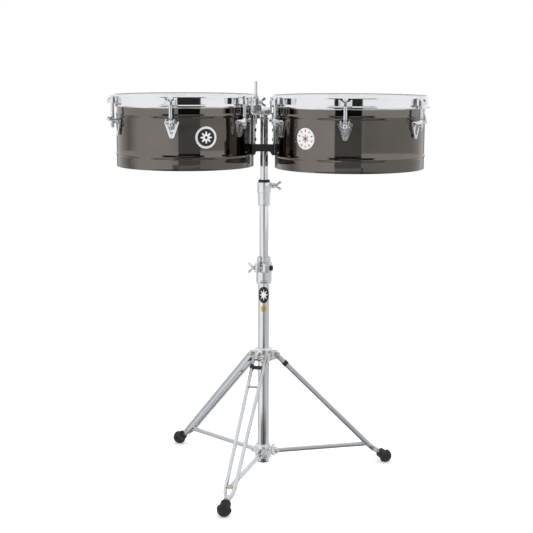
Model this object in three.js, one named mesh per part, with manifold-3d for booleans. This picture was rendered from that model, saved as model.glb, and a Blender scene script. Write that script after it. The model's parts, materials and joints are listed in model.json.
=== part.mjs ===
// Timbales: two metal-shell drums on a tilting, height-adjustable double-braced tripod stand.
// Units are millimetres. Heights below are measured from the floor; the exported group is lowered
// so that its origin is the centre of the post's bottom face. +Z is up, -Y faces the audience,
// and +X runs along the line of the drums towards the larger one.
import * as THREE from "three";
import { mergeVertices } from "three/addons/utils/BufferGeometryUtils.js";
import Module from "manifold-3d";

const wasm = await Module();
wasm.setup();

// ---- Driving dimensions ----
const GAP = 0.3; // least clearance between neighbouring pieces
const POST_FOOT = 29; // bottom face of the post above the floor

const SMALL_RADIUS = 176; // shell of the 14 inch drum
const LARGE_RADIUS = 189; // shell of the 15 inch drum
const SHELL_SPACING = 28.8; // from the post's axis to either shell
const SHELL_BOTTOM = 817;
const SHELL_DEPTH = 165; // 6.5 inches
const SHELL_WALL = 2.2;
const BEAD_HEIGHTS = [33, 133.5]; // above the shell's bottom edge
const RIM_SEGMENTS = 30;
const HOOP_BOTTOM = 970;
const HOOP_HEIGHT = 30;
const CLAW_BOTTOM = 979; // the claws' floor, under the tension rods' heads
const CLAW_TOP = 982.5;
const CLAW_HALF = 16.2;
const ROD_OFFSET = 17; // tension rod axis outside the shell
const ROD_RADIUS = 4.5;
const LUG_ANGLES = [30, 90, 150, 210, 270, 330]; // from the bracket's direction
const LUG_TOP = 940; // top of a lug's shelf
const BADGE_HEIGHT = 899;
// Each badge turns from the bracket's direction round to the front.
const SMALL_BADGE = { turn: -62.8, width: 54, height: 54 };
const LARGE_BADGE = { turn: 59, width: 51, height: 52 };

const BASE_TUBE = { outer: 15, inner: 13.2, bottom: 31, top: 566 };
const MIDDLE_TUBE = { outer: 12, inner: 10.6, bottom: 330, top: 748 };
const TOP_TUBE = { outer: 10, inner: 8.5, bottom: 540, top: 937 };
const BASE_CLAMP = { bottom: 511, body: 544, ring: 570, top: 584 };
const TOP_CLAMP = { bottom: 716, step: 750, ring: 777, top: 783 };
const TUBE_SEGMENTS = 20;

const LEG_AZIMUTHS = [21.1, 141.1, 261.1];
const SPIDER = { bottom: 306, top: 341, radius: 23 };
const COLLAR = { bottom: 41, top: 78, radius: 21 };
const PIVOT_RADIUS = 34; // leg and strut pivots from the post's axis
const LEG_PIVOT_Z = 320;
const STRUT_PIVOT_Z = 56;
const JOINT = { r: 293, z: 56 }; // where a strut meets its leg
const FOOT_BALL = { r: 345, z: 17, radius: 17.5 };
const FOOT_LEAN = 54.6; // the foot's axis from the vertical, in degrees
const FOOT_REACH = 30; // from the ball's centre up to the end of the leg's bars
const BAR = { depth: 13.5, width: 6.5, topSpread: 16, endSpread: 11.5 };
const STRUT = { depth: 10.8, width: 7, short: 4 };
const PIN_RADIUS = 3;

const BASE_BOLT = { y: -27, z: 557, face: 21.3 }; // pinch bolt of the base clamp
const TOP_SCREW = { z: 768, face: 28 }; // wing screw of the top clamp
const COLLAR_SCREW = { z: 70, face: 26, azimuth: -38.9 }; // midway between two legs
const SPIDER_SCREW_AZIMUTH = -38.9;

const TILT_AXIS_Z = 957;
const CROSSBAR = { bottom: 857, top: 875, front: -26, back: -12.3, half: 26.7 };
const SIDE_PLATE = { inner: 23.5, outer: 26.5, bottom: 847, top: 951 };
const YOKE_FRONT = -70; // front edge of the U-bracket
const YOKE_BACK = 14;
const ARM_HALF = 26; // half the U-bracket's outer width
const ROD_HOLDER = { x: -13, y: -63 };
const COWBELL_ROD = { radius: 4.75, bottom: 945, top: 1035 };
const ROD_SCREW_Z = 983;

// ---- Materials ----
function metal(color, roughness, metalness = 1) {
  return new THREE.MeshStandardMaterial({ color, roughness, metalness });
}
const chrome = metal(0xd9dcdf, 0.12);
const blackNickel = metal(0x4a4541, 0.1);
const blackSteel = metal(0x17171a, 0.45, 0.5);
const blackRubber = metal(0x18181a, 0.8, 0);
const blackPlastic = metal(0x151517, 0.5, 0);
const drumHead = metal(0xe9e8e3, 0.5, 0);
const badgeMetal = metal(0xc8cacc, 0.3);

// ---- Solids: conversion and booleans ----
function toSolid(geometry) {
  const bare = new THREE.BufferGeometry();
  const source = geometry.index ? geometry.toNonIndexed() : geometry;
  bare.setAttribute("position", source.getAttribute("position").clone());
  const merged = mergeVertices(bare, 1e-4);
  const corners = [];
  const index = merged.index.array;
  for (let i = 0; i < index.length; i += 3) {
    const [a, b, c] = index.slice(i, i + 3);
    if (a !== b && b !== c && c !== a) corners.push(a, b, c);
  }
  const mesh = new wasm.Mesh({
    numProp: 3,
    vertProperties: merged.getAttribute("position").array,
    triVerts: new Uint32Array(corners),
  });
  return new wasm.Manifold(mesh);
}

function toGeometry(solid) {
  const mesh = solid.getMesh();
  const geometry = new THREE.BufferGeometry();
  geometry.setAttribute("position", new THREE.BufferAttribute(mesh.vertProperties, 3));
  geometry.setIndex(new THREE.BufferAttribute(mesh.triVerts, 1));
  geometry.computeVertexNormals();
  return geometry;
}

function join(...pieces) {
  return pieces.map(toSolid).reduce((whole, piece) => whole.add(piece));
}

function cut(whole, ...tools) {
  return tools.map(toSolid).reduce((rest, tool) => rest.subtract(tool), whole);
}

function radians(degrees) {
  return (degrees * Math.PI) / 180;
}

// ---- Basic forms ----
// A solid of revolution about Z from a closed [radius, height] outline, in either direction.
function turned(outline, segments = TUBE_SEGMENTS) {
  const points = outline.map(([r, z]) => new THREE.Vector2(r, z));
  if (THREE.ShapeUtils.area(points) < 0) points.reverse();
  const onAxis = points.filter((p) => p.x === 0).length;
  if (onAxis) {
    while (points[0].x !== 0 || points[points.length - 1].x !== 0) points.push(points.shift());
  } else {
    points.push(points[0].clone());
  }
  return new THREE.LatheGeometry(points, segments).rotateX(Math.PI / 2);
}

function ring(inner, outer, bottom, top, segments) {
  return turned([[inner, bottom], [outer, bottom], [outer, top], [inner, top]], segments);
}

function disc(radius, bottom, top, segments) {
  return turned([[0, bottom], [radius, bottom], [radius, top], [0, top]], segments);
}

// A box from its lowest to its highest corner.
function block(x0, y0, z0, x1, y1, z1) {
  const box = new THREE.BoxGeometry(x1 - x0, y1 - y0, z1 - z0);
  return box.translate((x0 + x1) / 2, (y0 + y1) / 2, (z0 + z1) / 2);
}

// A cylinder whose axis runs along x, y or z, between two coordinates on that axis.
function rod(axis, radius, from, to, at, segments = 8) {
  const cylinder = new THREE.CylinderGeometry(radius, radius, to - from, segments);
  const middle = (from + to) / 2;
  if (axis === "x") return cylinder.rotateZ(Math.PI / 2).translate(middle, at[0], at[1]);
  if (axis === "y") return cylinder.translate(at[0], middle, at[1]);
  return cylinder.rotateX(Math.PI / 2).translate(at[0], at[1], middle);
}

// A plate with an outline in the XZ plane, between two Y values.
function plateXZ(shape, y0, y1, curveSegments = 2) {
  const settings = { depth: y1 - y0, bevelEnabled: false, curveSegments };
  const plate = new THREE.ExtrudeGeometry(shape, settings);
  return plate.rotateX(Math.PI / 2).translate(0, y1, 0);
}

// A plate with an outline in the YZ plane, between two X values.
function plateYZ(shape, x0, x1, curveSegments = 2) {
  const settings = { depth: x1 - x0, bevelEnabled: false, curveSegments };
  const plate = new THREE.ExtrudeGeometry(shape, settings);
  return plate.rotateX(Math.PI / 2).rotateZ(Math.PI / 2).translate(x0, 0, 0);
}

// A plate with an outline in the XY plane, between two heights.
function plateXY(shape, z0, z1, curveSegments = 2) {
  const settings = { depth: z1 - z0, bevelEnabled: false, curveSegments };
  return new THREE.ExtrudeGeometry(shape, settings).translate(0, 0, z0);
}

function polygon(points) {
  return new THREE.Shape(points.map(([x, y]) => new THREE.Vector2(x, y)));
}

// A straight bar with round ends between two points of a plane.
function roundedBar(from, to, width) {
  const direction = Math.atan2(to[1] - from[1], to[0] - from[0]);
  const shape = new THREE.Shape();
  shape.absarc(to[0], to[1], width / 2, direction - Math.PI / 2, direction + Math.PI / 2, false);
  shape.absarc(from[0], from[1], width / 2, direction + Math.PI / 2, direction - Math.PI / 2, false);
  return shape;
}

function tube({ outer, inner, bottom, top }) {
  return ring(inner, outer, bottom, top);
}

// ---- Assembly helpers ----
function part(name, shape, material) {
  const geometry = shape.isBufferGeometry ? shape : toGeometry(shape);
  const mesh = new THREE.Mesh(geometry, material);
  mesh.name = name;
  return mesh;
}

function turnedGroup(degrees, ...children) {
  const group = new THREE.Group();
  group.rotation.z = radians(degrees);
  group.add(...children);
  return group;
}

// ---- Drums: each is built about its own axis, with +X pointing at the post ----
function shell(radius) {
  const bottom = SHELL_BOTTOM;
  const top = SHELL_BOTTOM + SHELL_DEPTH;
  const inside = radius - SHELL_WALL;
  const bead = (z) => [[radius, z - 4], [radius + 1.8, z], [radius, z + 4]];
  return turned([
    [inside, bottom],
    [radius, bottom],
    ...BEAD_HEIGHTS.flatMap((height) => bead(bottom + height)),
    [radius, top - 4],
    [radius - 3, top],
    [inside, top - 4],
  ], RIM_SEGMENTS);
}

// The film, its collar down over the shell's edge, and the flesh hoop that carries it.
function head(radius) {
  const top = SHELL_BOTTOM + SHELL_DEPTH + 1.6;
  const fleshBottom = HOOP_BOTTOM + 1;
  const fleshTop = HOOP_BOTTOM + 8.3;
  return turned([
    [0, top],
    [radius + 1.7, top],
    [radius + 1.7, fleshTop],
    [radius + 6, fleshTop],
    [radius + 6, fleshBottom],
    [radius + 0.6, fleshBottom],
    [radius + 0.6, top - 1],
    [0, top - 1],
  ], RIM_SEGMENTS);
}

// One claw of the hoop: a round-ended cup under the tension rod's head, its rim falling outward.
function hoopClaw(radius) {
  const inner = radius + 6.6; // inside the hoop's wall all the way across
  const centre = radius + 14.5;
  const half = CLAW_HALF;
  const wall = 3;
  const rimTop = HOOP_BOTTOM + 24.5;
  const cupPlan = (halfWidth, back) => {
    const plan = new THREE.Shape();
    plan.moveTo(back, -halfWidth);
    plan.absarc(centre, 0, halfWidth, -Math.PI / 2, Math.PI / 2, false);
    plan.lineTo(back, halfWidth);
    return plan;
  };
  const cup = plateXY(cupPlan(half, inner), CLAW_BOTTOM, rimTop, 6);
  const hollow = plateXY(cupPlan(half - wall, inner - 1), CLAW_TOP, rimTop + 1, 6);
  const slope = polygon([
    [centre, rimTop],
    [radius + 33, rimTop - 8],
    [radius + 33, rimTop + 1],
    [centre, rimTop + 1],
  ]);
  return toGeometry(cut(join(cup), hollow, plateXZ(slope, -half - 1, half + 1)));
}

function hoop(radius) {
  const bottom = HOOP_BOTTOM;
  const top = HOOP_BOTTOM + HOOP_HEIGHT;
  const rim = turned([
    [radius + 6.5, bottom],
    [radius + 9.8, bottom],
    [radius + 11, bottom + 3],
    [radius + 8.5, bottom + 8.5],
    [radius + 8.5, top - 5],
    [radius + 7, top - 1.4],
    [radius + 4, top],
    [radius + 4, top - 1.8],
    [radius + 6.5, top - 5],
    [radius + 6.5, bottom + 11],
    [radius + 3, bottom + 11],
    [radius + 3, bottom + 9],
    [radius + 6.5, bottom + 9],
  ], RIM_SEGMENTS);
  const claws = [];
  const holes = [];
  for (const angle of LUG_ANGLES) {
    const hole = rod("z", ROD_RADIUS + 0.8, CLAW_BOTTOM - 1, CLAW_TOP + 1, [radius + ROD_OFFSET, 0]);
    claws.push(hoopClaw(radius).rotateZ(radians(angle)));
    holes.push(hole.rotateZ(radians(angle)));
  }
  return cut(join(rim, ...claws), ...holes);
}

// A three-cornered side plate with folded edges, a shelf on top and a barrel nut in the shelf.
function lug(radius) {
  const face = radius + 0.5;
  const front = face + 3;
  const rear = front - 1; // the shelf, folds and horns start inside the plate, clear of the bead
  const tip = { z: LUG_TOP - 36, radius: 7 };
  const cornerY = 19;
  const cornerZ = LUG_TOP - 2;
  const outline = new THREE.Shape();
  outline.moveTo(-cornerY, cornerZ);
  outline.absarc(0, tip.z, tip.radius, Math.PI * 1.1, Math.PI * 1.9, false);
  outline.lineTo(cornerY, cornerZ);
  outline.quadraticCurveTo(0, cornerZ - 12, -cornerY, cornerZ);
  const shelfShape = polygon([
    [rear, -17],
    [face + 11, -15],
    [face + 28.5, -10],
    [face + 28.5, 10],
    [face + 11, 15],
    [rear, 17],
  ]);
  const fold = polygon([[face, tip.z + 2], [face + 11, LUG_TOP], [rear, LUG_TOP]]);
  const horn = polygon([
    [rear, LUG_TOP - 12],
    [face + 28.5, LUG_TOP - 4],
    [face + 28.5, LUG_TOP],
    [face + 24, LUG_TOP + 6],
    [face + 16, LUG_TOP + 2],
    [rear, LUG_TOP],
  ]);
  const lean = Math.atan2(cornerY - tip.radius, cornerZ - tip.z);
  const folds = [-1, 1].map((side) =>
    plateXZ(fold, -1.3, 1.3).translate(0, 0, -tip.z).rotateX(-side * lean)
      .translate(0, side * (tip.radius - 1), tip.z),
  );
  const horns = [-1, 1].map((side) => plateXZ(horn, side * 10 - 1.2, side * 10 + 1.2));
  const barrel = rod("z", 6.6, LUG_TOP - 15, LUG_TOP + 4, [radius + ROD_OFFSET, 0]);
  const bore = rod("z", ROD_RADIUS + 0.5, LUG_TOP - 16, LUG_TOP + 5, [radius + ROD_OFFSET, 0]);
  const screw = rod("x", 3.6, front - 1, front + 1.6, [0, tip.z], 6);
  const shelf = plateXY(shelfShape, LUG_TOP - 3, LUG_TOP);
  return cut(join(plateYZ(outline, face, front), ...folds, ...horns, shelf, barrel, screw), bore);
}

function tensionRod() {
  const seat = CLAW_TOP + GAP;
  return join(
    rod("z", ROD_RADIUS, LUG_TOP - 22, seat + 1, [0, 0], 6),
    rod("z", 6.8, seat, seat + 2, [0, 0], 8),
    rod("z", 6.8, seat + 1, seat + 16, [0, 0], 4),
  );
}

// A badge curved to the shell: a slice of a thin ring around the drum.
function badge(radius, { turn, width, height }) {
  const middle = BADGE_HEIGHT;
  const outline = rod("x", 1, radius - 10, radius + 10, [0, 0], 16);
  outline.scale(1, width / 2, height / 2).translate(0, 0, middle).rotateZ(radians(turn));
  const sheet = ring(radius + 0.4, radius + 2.2, middle - height, middle + height, RIM_SEGMENTS);
  return toSolid(outline).intersect(toSolid(sheet));
}

// The steel plate on the side of a shell that faces the post, with its two screws.
function mountBracket(radius) {
  const centre = radius + SHELL_SPACING;
  const near = centre - SIDE_PLATE.inner;
  const far = centre - SIDE_PLATE.outer;
  const outline = polygon([
    [-12, SIDE_PLATE.bottom],
    [12, SIDE_PLATE.bottom],
    [12, SIDE_PLATE.top],
    [-12, SIDE_PLATE.top],
  ]);
  const screws = [886, 910].map((z) => rod("x", 4.5, near - 1, near + 3.5, [0, z], 6));
  return join(plateYZ(outline, far, near), ...screws);
}

function drum(prefix, radius, centreX, facing, badgeShape) {
  const group = new THREE.Group();
  group.rotation.z = radians(facing);
  group.position.x = centreX;
  group.add(part(`${prefix}_shell`, shell(radius), blackNickel));
  group.add(part(`${prefix}_head`, head(radius), drumHead));
  group.add(part(`${prefix}_hoop`, hoop(radius), chrome));
  group.add(part(`${prefix}_bracket`, mountBracket(radius), chrome));
  group.add(part(`${prefix}_badge`, badge(radius, badgeShape), badgeMetal));
  LUG_ANGLES.forEach((angle, i) => {
    const lugPart = part(`${prefix}_lug_${i + 1}`, lug(radius), chrome);
    const rodPart = part(`${prefix}_tension_rod_${i + 1}`, tensionRod(), chrome);
    rodPart.position.x = radius + ROD_OFFSET;
    group.add(turnedGroup(angle, lugPart, rodPart));
  });
  return group;
}

// ---- Tripod ----
function basePlug() {
  const { outer, inner, bottom } = BASE_TUBE;
  return turned([
    [0, POST_FOOT],
    [outer, POST_FOOT],
    [outer, bottom - GAP],
    [inner - GAP, bottom - GAP],
    [inner - GAP, bottom + 14],
    [0, bottom + 14],
  ]);
}

// The fixed collar at the top of the legs: a ring with a lug between the two bars of each leg.
function spider() {
  const { bottom, top, radius } = SPIDER;
  const half = BAR.topSpread - BAR.width / 2 - 0.5;
  const shape = roundedBar([16, LEG_PIVOT_Z], [PIVOT_RADIUS, LEG_PIVOT_Z], 20);
  const pinAt = [PIVOT_RADIUS, LEG_PIVOT_Z];
  const around = (piece, azimuth) => piece.rotateZ(radians(azimuth));
  const lugs = LEG_AZIMUTHS.map((a) => around(plateXZ(shape, -half, half), a));
  const holes = LEG_AZIMUTHS.map((a) => around(rod("y", PIN_RADIUS + 0.5, -20, 20, pinAt), a));
  const screw = around(rod("x", 4.5, radius - 3, radius + 5, [0, top - 9], 6), SPIDER_SCREW_AZIMUTH);
  const bore = disc(BASE_TUBE.outer + GAP, bottom - 1, top + 1);
  return cut(join(disc(radius, bottom, top), ...lugs, screw), bore, ...holes);
}

// The sliding collar at the inner ends of the struts, with a clevis for each strut.
function lowerCollar() {
  const { bottom, top, radius } = COLLAR;
  const inner = STRUT.width / 2 + 0.4;
  const shape = roundedBar([14, STRUT_PIVOT_Z], [PIVOT_RADIUS, STRUT_PIVOT_Z], 15);
  const pinAt = [PIVOT_RADIUS, STRUT_PIVOT_Z];
  const cheeks = [];
  const holes = [];
  for (const azimuth of LEG_AZIMUTHS) {
    for (const [y0, y1] of [[-inner - 4, -inner], [inner, inner + 4]]) {
      cheeks.push(plateXZ(shape, y0, y1).rotateZ(radians(azimuth)));
    }
    holes.push(rod("y", PIN_RADIUS + 0.5, -12, 12, pinAt).rotateZ(radians(azimuth)));
  }
  const { z, face, azimuth } = COLLAR_SCREW;
  const boss = rod("x", 8, radius - 5, face, [0, z]).rotateZ(radians(azimuth));
  const screwHole = rod("x", 4, radius - 7, face + 1, [0, z]).rotateZ(radians(azimuth));
  const bore = disc(BASE_TUBE.outer + GAP, bottom - 1, top + 1);
  return cut(join(disc(radius, bottom, top), ...cheeks, boss), bore, screwHole, ...holes);
}

// Distances along a leg from its pivot, as [r, z] in the leg's plane.
const LEG_RUN = Math.hypot(JOINT.r - PIVOT_RADIUS, LEG_PIVOT_Z - JOINT.z);
function alongLeg(distance) {
  const share = distance / LEG_RUN;
  return [
    PIVOT_RADIUS + share * (JOINT.r - PIVOT_RADIUS),
    LEG_PIVOT_Z + share * (JOINT.z - LEG_PIVOT_Z),
  ];
}

// One flat bar of a leg between two [r, z, spread] points, on one side of the leg's plane.
function flatBar(from, to, side) {
  const flatLength = Math.hypot(to[0] - from[0], to[1] - from[1]);
  const slope = Math.atan2(to[1] - from[1], to[0] - from[0]);
  const splay = Math.atan2(to[2] - from[2], flatLength);
  const length = Math.hypot(flatLength, to[2] - from[2]);
  const shape = roundedBar([0, 0], [length, 0], BAR.depth);
  const bar = plateXZ(shape, -BAR.width / 2, BAR.width / 2);
  bar.rotateZ(side * splay).rotateY(-slope);
  return bar.translate(from[0], side * from[2], from[1]);
}

// Two bars side by side, joined by the pivot pin, a spacer, a rivet and the stub of the foot.
// The leg lies in the XZ plane, X being the distance from the post's axis.
function leg() {
  const lean = radians(FOOT_LEAN);
  const heelR = FOOT_BALL.r - FOOT_REACH * Math.sin(lean);
  const heelZ = FOOT_BALL.z + FOOT_REACH * Math.cos(lean);
  const path = [
    [...alongLeg(0), BAR.topSpread],
    [...alongLeg(LEG_RUN + 14), BAR.endSpread],
    [heelR, heelZ, 3.6],
  ];
  const pieces = [];
  for (const side of [-1, 1]) {
    const span = (near, far) => (side < 0 ? [-far, -near] : [near, far]);
    pieces.push(flatBar(path[0], path[1], side));
    pieces.push(flatBar(path[1], path[2], side));
    const outerFace = BAR.topSpread + BAR.width / 2;
    pieces.push(rod("y", 5.5, ...span(outerFace - 1, outerFace + 2), alongLeg(0)));
    const boss = span(STRUT.width / 2 + 0.6, BAR.endSpread + BAR.width / 2 + 1.4);
    pieces.push(rod("y", 4.5, ...boss, alongLeg(LEG_RUN)));
  }
  const width = [-BAR.topSpread, BAR.topSpread];
  pieces.push(rod("y", PIN_RADIUS, ...width, alongLeg(0)));
  pieces.push(rod("y", 5, ...width, alongLeg(30)));
  pieces.push(rod("y", PIN_RADIUS, ...width, alongLeg(88), 6));
  const stub = disc(4.5, 0, FOOT_REACH + 1, 8).rotateY(-lean);
  pieces.push(stub.translate(FOOT_BALL.r, 0, FOOT_BALL.z));
  return join(...pieces);
}

// A flat bar from the sliding collar's clevis towards the leg, with its inner pivot pin.
// It stops a little short of the outer pivot, which is the open pivot of the linkage.
function strut() {
  const end = [JOINT.r - STRUT.short, JOINT.z];
  const pinAt = [PIVOT_RADIUS, STRUT_PIVOT_Z];
  const bar = plateXZ(roundedBar(pinAt, end, STRUT.depth), -STRUT.width / 2, STRUT.width / 2);
  const pinHalf = STRUT.width / 2 + 5.4;
  const pin = rod("y", PIN_RADIUS, -pinHalf, pinHalf, pinAt);
  const nearHead = rod("y", 4.5, -pinHalf - 1.2, 0.6 - pinHalf, pinAt);
  const farHead = rod("y", 4.5, pinHalf - 0.6, pinHalf + 1.2, pinAt);
  return join(bar, pin, nearHead, farHead);
}

// A rubber ball with a tapered cap over the leg's stub, cut flat where it stands on the floor.
function foot() {
  const { r, z, radius } = FOOT_BALL;
  const lean = radians(FOOT_LEAN);
  const steps = 5;
  const outline = [[0, -radius]];
  for (let i = 1; i <= steps; i += 1) {
    const angle = radians(-90 + (i * 133) / steps);
    outline.push([radius * Math.cos(angle), radius * Math.sin(angle)]);
  }
  outline.push([11.8, 22], [0, 22]);
  const body = turned(outline, 16).rotateY(-lean).translate(r, 0, z);
  const socket = disc(5.3, -1, FOOT_REACH, 8).rotateY(-lean).translate(r, 0, z);
  const floor = block(r - 50, -50, -50, r + 50, 50, 0);
  return cut(toSolid(body), socket, floor);
}

// ---- Post clamps ----
// The split clamp on top of the base tube, with the ears of its pinch bolt facing the front.
function baseClamp() {
  const { bottom, body, ring: ringZ, top } = BASE_CLAMP;
  const sleeve = turned([
    [0, bottom],
    [19.8, bottom],
    [21, bottom + 6],
    [21, body],
    [23, body + 2],
    [23, ringZ - 2],
    [18, ringZ],
    [18, top - 2],
    [16.5, top],
    [0, top],
  ]);
  const ears = block(GAP - BASE_BOLT.face, -33, body + 1, BASE_BOLT.face - GAP, -12, ringZ - 2);
  const slit = block(-7, -40, body + 0.5, -1.5, -5, top + 1);
  const lowerBore = disc(BASE_TUBE.outer + GAP, bottom - 1, BASE_TUBE.top + GAP);
  const upperBore = disc(MIDDLE_TUBE.outer + GAP, bottom, top + 1);
  const boltHole = rod("x", 3.6, -30, 30, [BASE_BOLT.y, BASE_BOLT.z]);
  return cut(join(sleeve, ears), lowerBore, upperBore, slit, boltHole);
}

// The clamp on top of the middle tube: a tapered sleeve, a wider head and a nylon collar.
function topClamp() {
  const { bottom, step, ring: ringZ, top } = TOP_CLAMP;
  const body = turned([
    [0, bottom],
    [14.6, bottom],
    [15.6, bottom + 3],
    [16.4, step],
    [18, step + 1],
    [18, ringZ],
    [15, ringZ + 0.5],
    [15, top],
    [0, top],
  ]);
  const { z, face } = TOP_SCREW;
  const boss = rod("x", 7, 10, face, [0, z]);
  const lowerBore = disc(MIDDLE_TUBE.outer + GAP, bottom - 1, MIDDLE_TUBE.top + GAP);
  const upperBore = disc(TOP_TUBE.outer + GAP, bottom, top + 1);
  const screwHole = rod("x", 4, 5, face + 2, [0, z]);
  return cut(join(body, boss), lowerBore, upperBore, screwHole);
}

// A wing screw along +X: the stem ends at the origin, where the hub and its two blades start.
function wingScrew(stem, stemRadius, span) {
  const hub = 8;
  const tips = hub + 9;
  const blades = polygon([
    [1, -5.6],
    [hub - 3, -5.6],
    [tips - 5, -span],
    [tips, 3 - span],
    [hub, 0],
    [tips, span - 3],
    [tips - 5, span],
    [hub - 3, 5.6],
    [1, 5.6],
  ]);
  return join(
    rod("x", stemRadius, -stem, 1, [0, 0]),
    rod("x", 6.4, GAP, hub, [0, 0]),
    plateXZ(blades, -2.2, 2.2),
  );
}

// The base clamp's pinch bolt: a wing screw whose stem ends in a round head.
function pinchBolt() {
  const length = 2 * BASE_BOLT.face;
  const head = rod("x", 6.4, -length - 6, GAP - length - GAP, [0, 0]);
  return toSolid(head).add(wingScrew(length + 1, 3, 14.5));
}

// ---- Tilter and crossbar ----
// The casting on top of the post: a plug in the tube, a cap, a neck and the tilt barrel.
function tilterBody() {
  const { top, inner } = TOP_TUBE;
  const pieces = [
    disc(inner - GAP, top - 22, top + 2),
    disc(12, top + GAP, top + 4),
    block(-8, -8, top + 3, 8, 8, TILT_AXIS_Z),
    rod("x", 10, -9.5, 9.5, [0, TILT_AXIS_Z], 16),
  ];
  const pivotBore = rod("x", 4.4, -12, 12, [0, TILT_AXIS_Z]);
  const screwHole = rod("y", 3.6, 3, 14, [0, TILT_AXIS_Z]);
  return cut(join(...pieces), pivotBore, screwHole);
}

// Half of the U-bracket, as an outline in the XZ plane on the +X side.
function armOutline(plateBottom, plateTop) {
  const armTop = 996;
  const bend = ARM_HALF - 8;
  const outline = new THREE.Shape();
  outline.moveTo(ARM_HALF, armTop);
  outline.lineTo(ARM_HALF, plateBottom + 8);
  outline.absarc(bend, plateBottom + 8, 8, 0, -Math.PI / 2, true);
  outline.lineTo(0, plateBottom);
  outline.lineTo(0, plateTop);
  outline.lineTo(bend, plateTop);
  outline.absarc(bend, plateTop + 5, 5, -Math.PI / 2, 0, false);
  outline.lineTo(ARM_HALF - 3, armTop);
  return outline;
}

// The welded steel yoke that tilts on a pin through the barrel: cheeks beside the barrel, a base
// plate running forward to the U-bracket, flanges for the drums, and the cowbell rod's holder.
function tilterYoke() {
  const plateTop = TILT_AXIS_Z - 3;
  const plateBottom = plateTop - 3;
  const strapBack = YOKE_FRONT + 13;
  const { x, y } = ROD_HOLDER;
  const pieces = [
    block(-20, strapBack - 1, plateBottom, 20, YOKE_BACK, plateTop),
    block(x - 8, y - 6.2, plateTop - 1, x + 14, y + 5.8, plateTop + 22),
    block(x - 8, y - 6.2, plateTop + 20, x + 8, y + 5.8, plateTop + 38),
  ];
  const cheek = roundedBar([0, TILT_AXIS_Z - 2], [0, TILT_AXIS_Z], 23);
  const arm = armOutline(plateBottom, plateTop);
  for (const side of [0, 180]) {
    const halves = [
      plateYZ(cheek, 10, 13),
      block(19, -12, plateBottom, SIDE_PLATE.inner - GAP, 12, plateTop),
      block(SIDE_PLATE.inner - 3.6, -12, 925, SIDE_PLATE.inner - GAP, 12, plateTop),
    ];
    pieces.push(...halves.map((piece) => piece.rotateZ(radians(side))));
    const strapMiddle = YOKE_FRONT + 6.5;
    const strap = plateXZ(arm, -6.5, 6.5).rotateZ(radians(side));
    pieces.push(strap.translate(0, strapMiddle, 0));
  }
  const slot = block(-9.9, -10.8, plateBottom - 1, 9.9, YOKE_BACK + 1, TILT_AXIS_Z + 12);
  const rodBore = rod("z", COWBELL_ROD.radius + 0.5, plateBottom - 1, 1010, [x, y], 12);
  const screwHole = rod("x", 3.6, x + 2, x + 12, [y, ROD_SCREW_Z]);
  const pin = rod("x", 3.9, -12, 12, [0, TILT_AXIS_Z]);
  const heads = [rod("x", 6, -15.5, -12, [0, TILT_AXIS_Z], 6), rod("x", 6, 12, 15.5, [0, TILT_AXIS_Z], 6)];
  return cut(join(...pieces), slot, rodBore, screwHole).add(join(pin, ...heads));
}

// The black bar between the drums, with a foot at each end where it meets their side plates.
function crossbar() {
  const { bottom, top, front, back, half } = CROSSBAR;
  const shape = polygon([
    [-half, bottom - 10],
    [-half + 3, bottom - 10],
    [-half + 9, bottom],
    [half - 9, bottom],
    [half - 3, bottom - 10],
    [half, bottom - 10],
    [half, top],
    [-half, top],
  ]);
  return plateXZ(shape, front, back);
}

function cowbellRod() {
  const { radius, bottom, top } = COWBELL_ROD;
  return turned([[0, bottom], [radius, bottom], [radius, top - 1], [radius - 1, top], [0, top]], 12);
}

// ---- The whole object ----
function stand() {
  const group = new THREE.Group();
  group.add(part("base_tube", tube(BASE_TUBE), chrome));
  group.add(part("base_plug", basePlug(), blackPlastic));
  group.add(part("spider", spider(), chrome));
  group.add(part("lower_collar", lowerCollar(), chrome));
  const collarWing = part("lower_collar_wing", wingScrew(9.3, 3.5, 17), chrome);
  collarWing.position.set(COLLAR_SCREW.face, 0, COLLAR_SCREW.z);
  group.add(turnedGroup(COLLAR_SCREW.azimuth, collarWing));
  LEG_AZIMUTHS.forEach((azimuth, i) => {
    const legPart = part(`leg_${i + 1}`, leg(), chrome);
    const strutPart = part(`strut_${i + 1}`, strut(), chrome);
    const footPart = part(`foot_${i + 1}`, foot(), blackRubber);
    group.add(turnedGroup(azimuth, legPart, strutPart, footPart));
  });
  group.add(part("base_clamp", baseClamp(), chrome));
  const baseWing = part("base_clamp_wing", pinchBolt(), chrome);
  baseWing.position.set(-BASE_BOLT.face, BASE_BOLT.y, BASE_BOLT.z);
  baseWing.rotation.z = Math.PI;
  group.add(baseWing);
  group.add(part("middle_tube", tube(MIDDLE_TUBE), chrome));
  group.add(part("top_clamp", topClamp(), chrome));
  const topWing = part("top_clamp_wing", wingScrew(TOP_SCREW.face - 11, 3.5, 12), chrome);
  topWing.position.set(TOP_SCREW.face, 0, TOP_SCREW.z);
  group.add(topWing);
  group.add(part("top_tube", tube(TOP_TUBE), chrome));
  return group;
}

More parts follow.
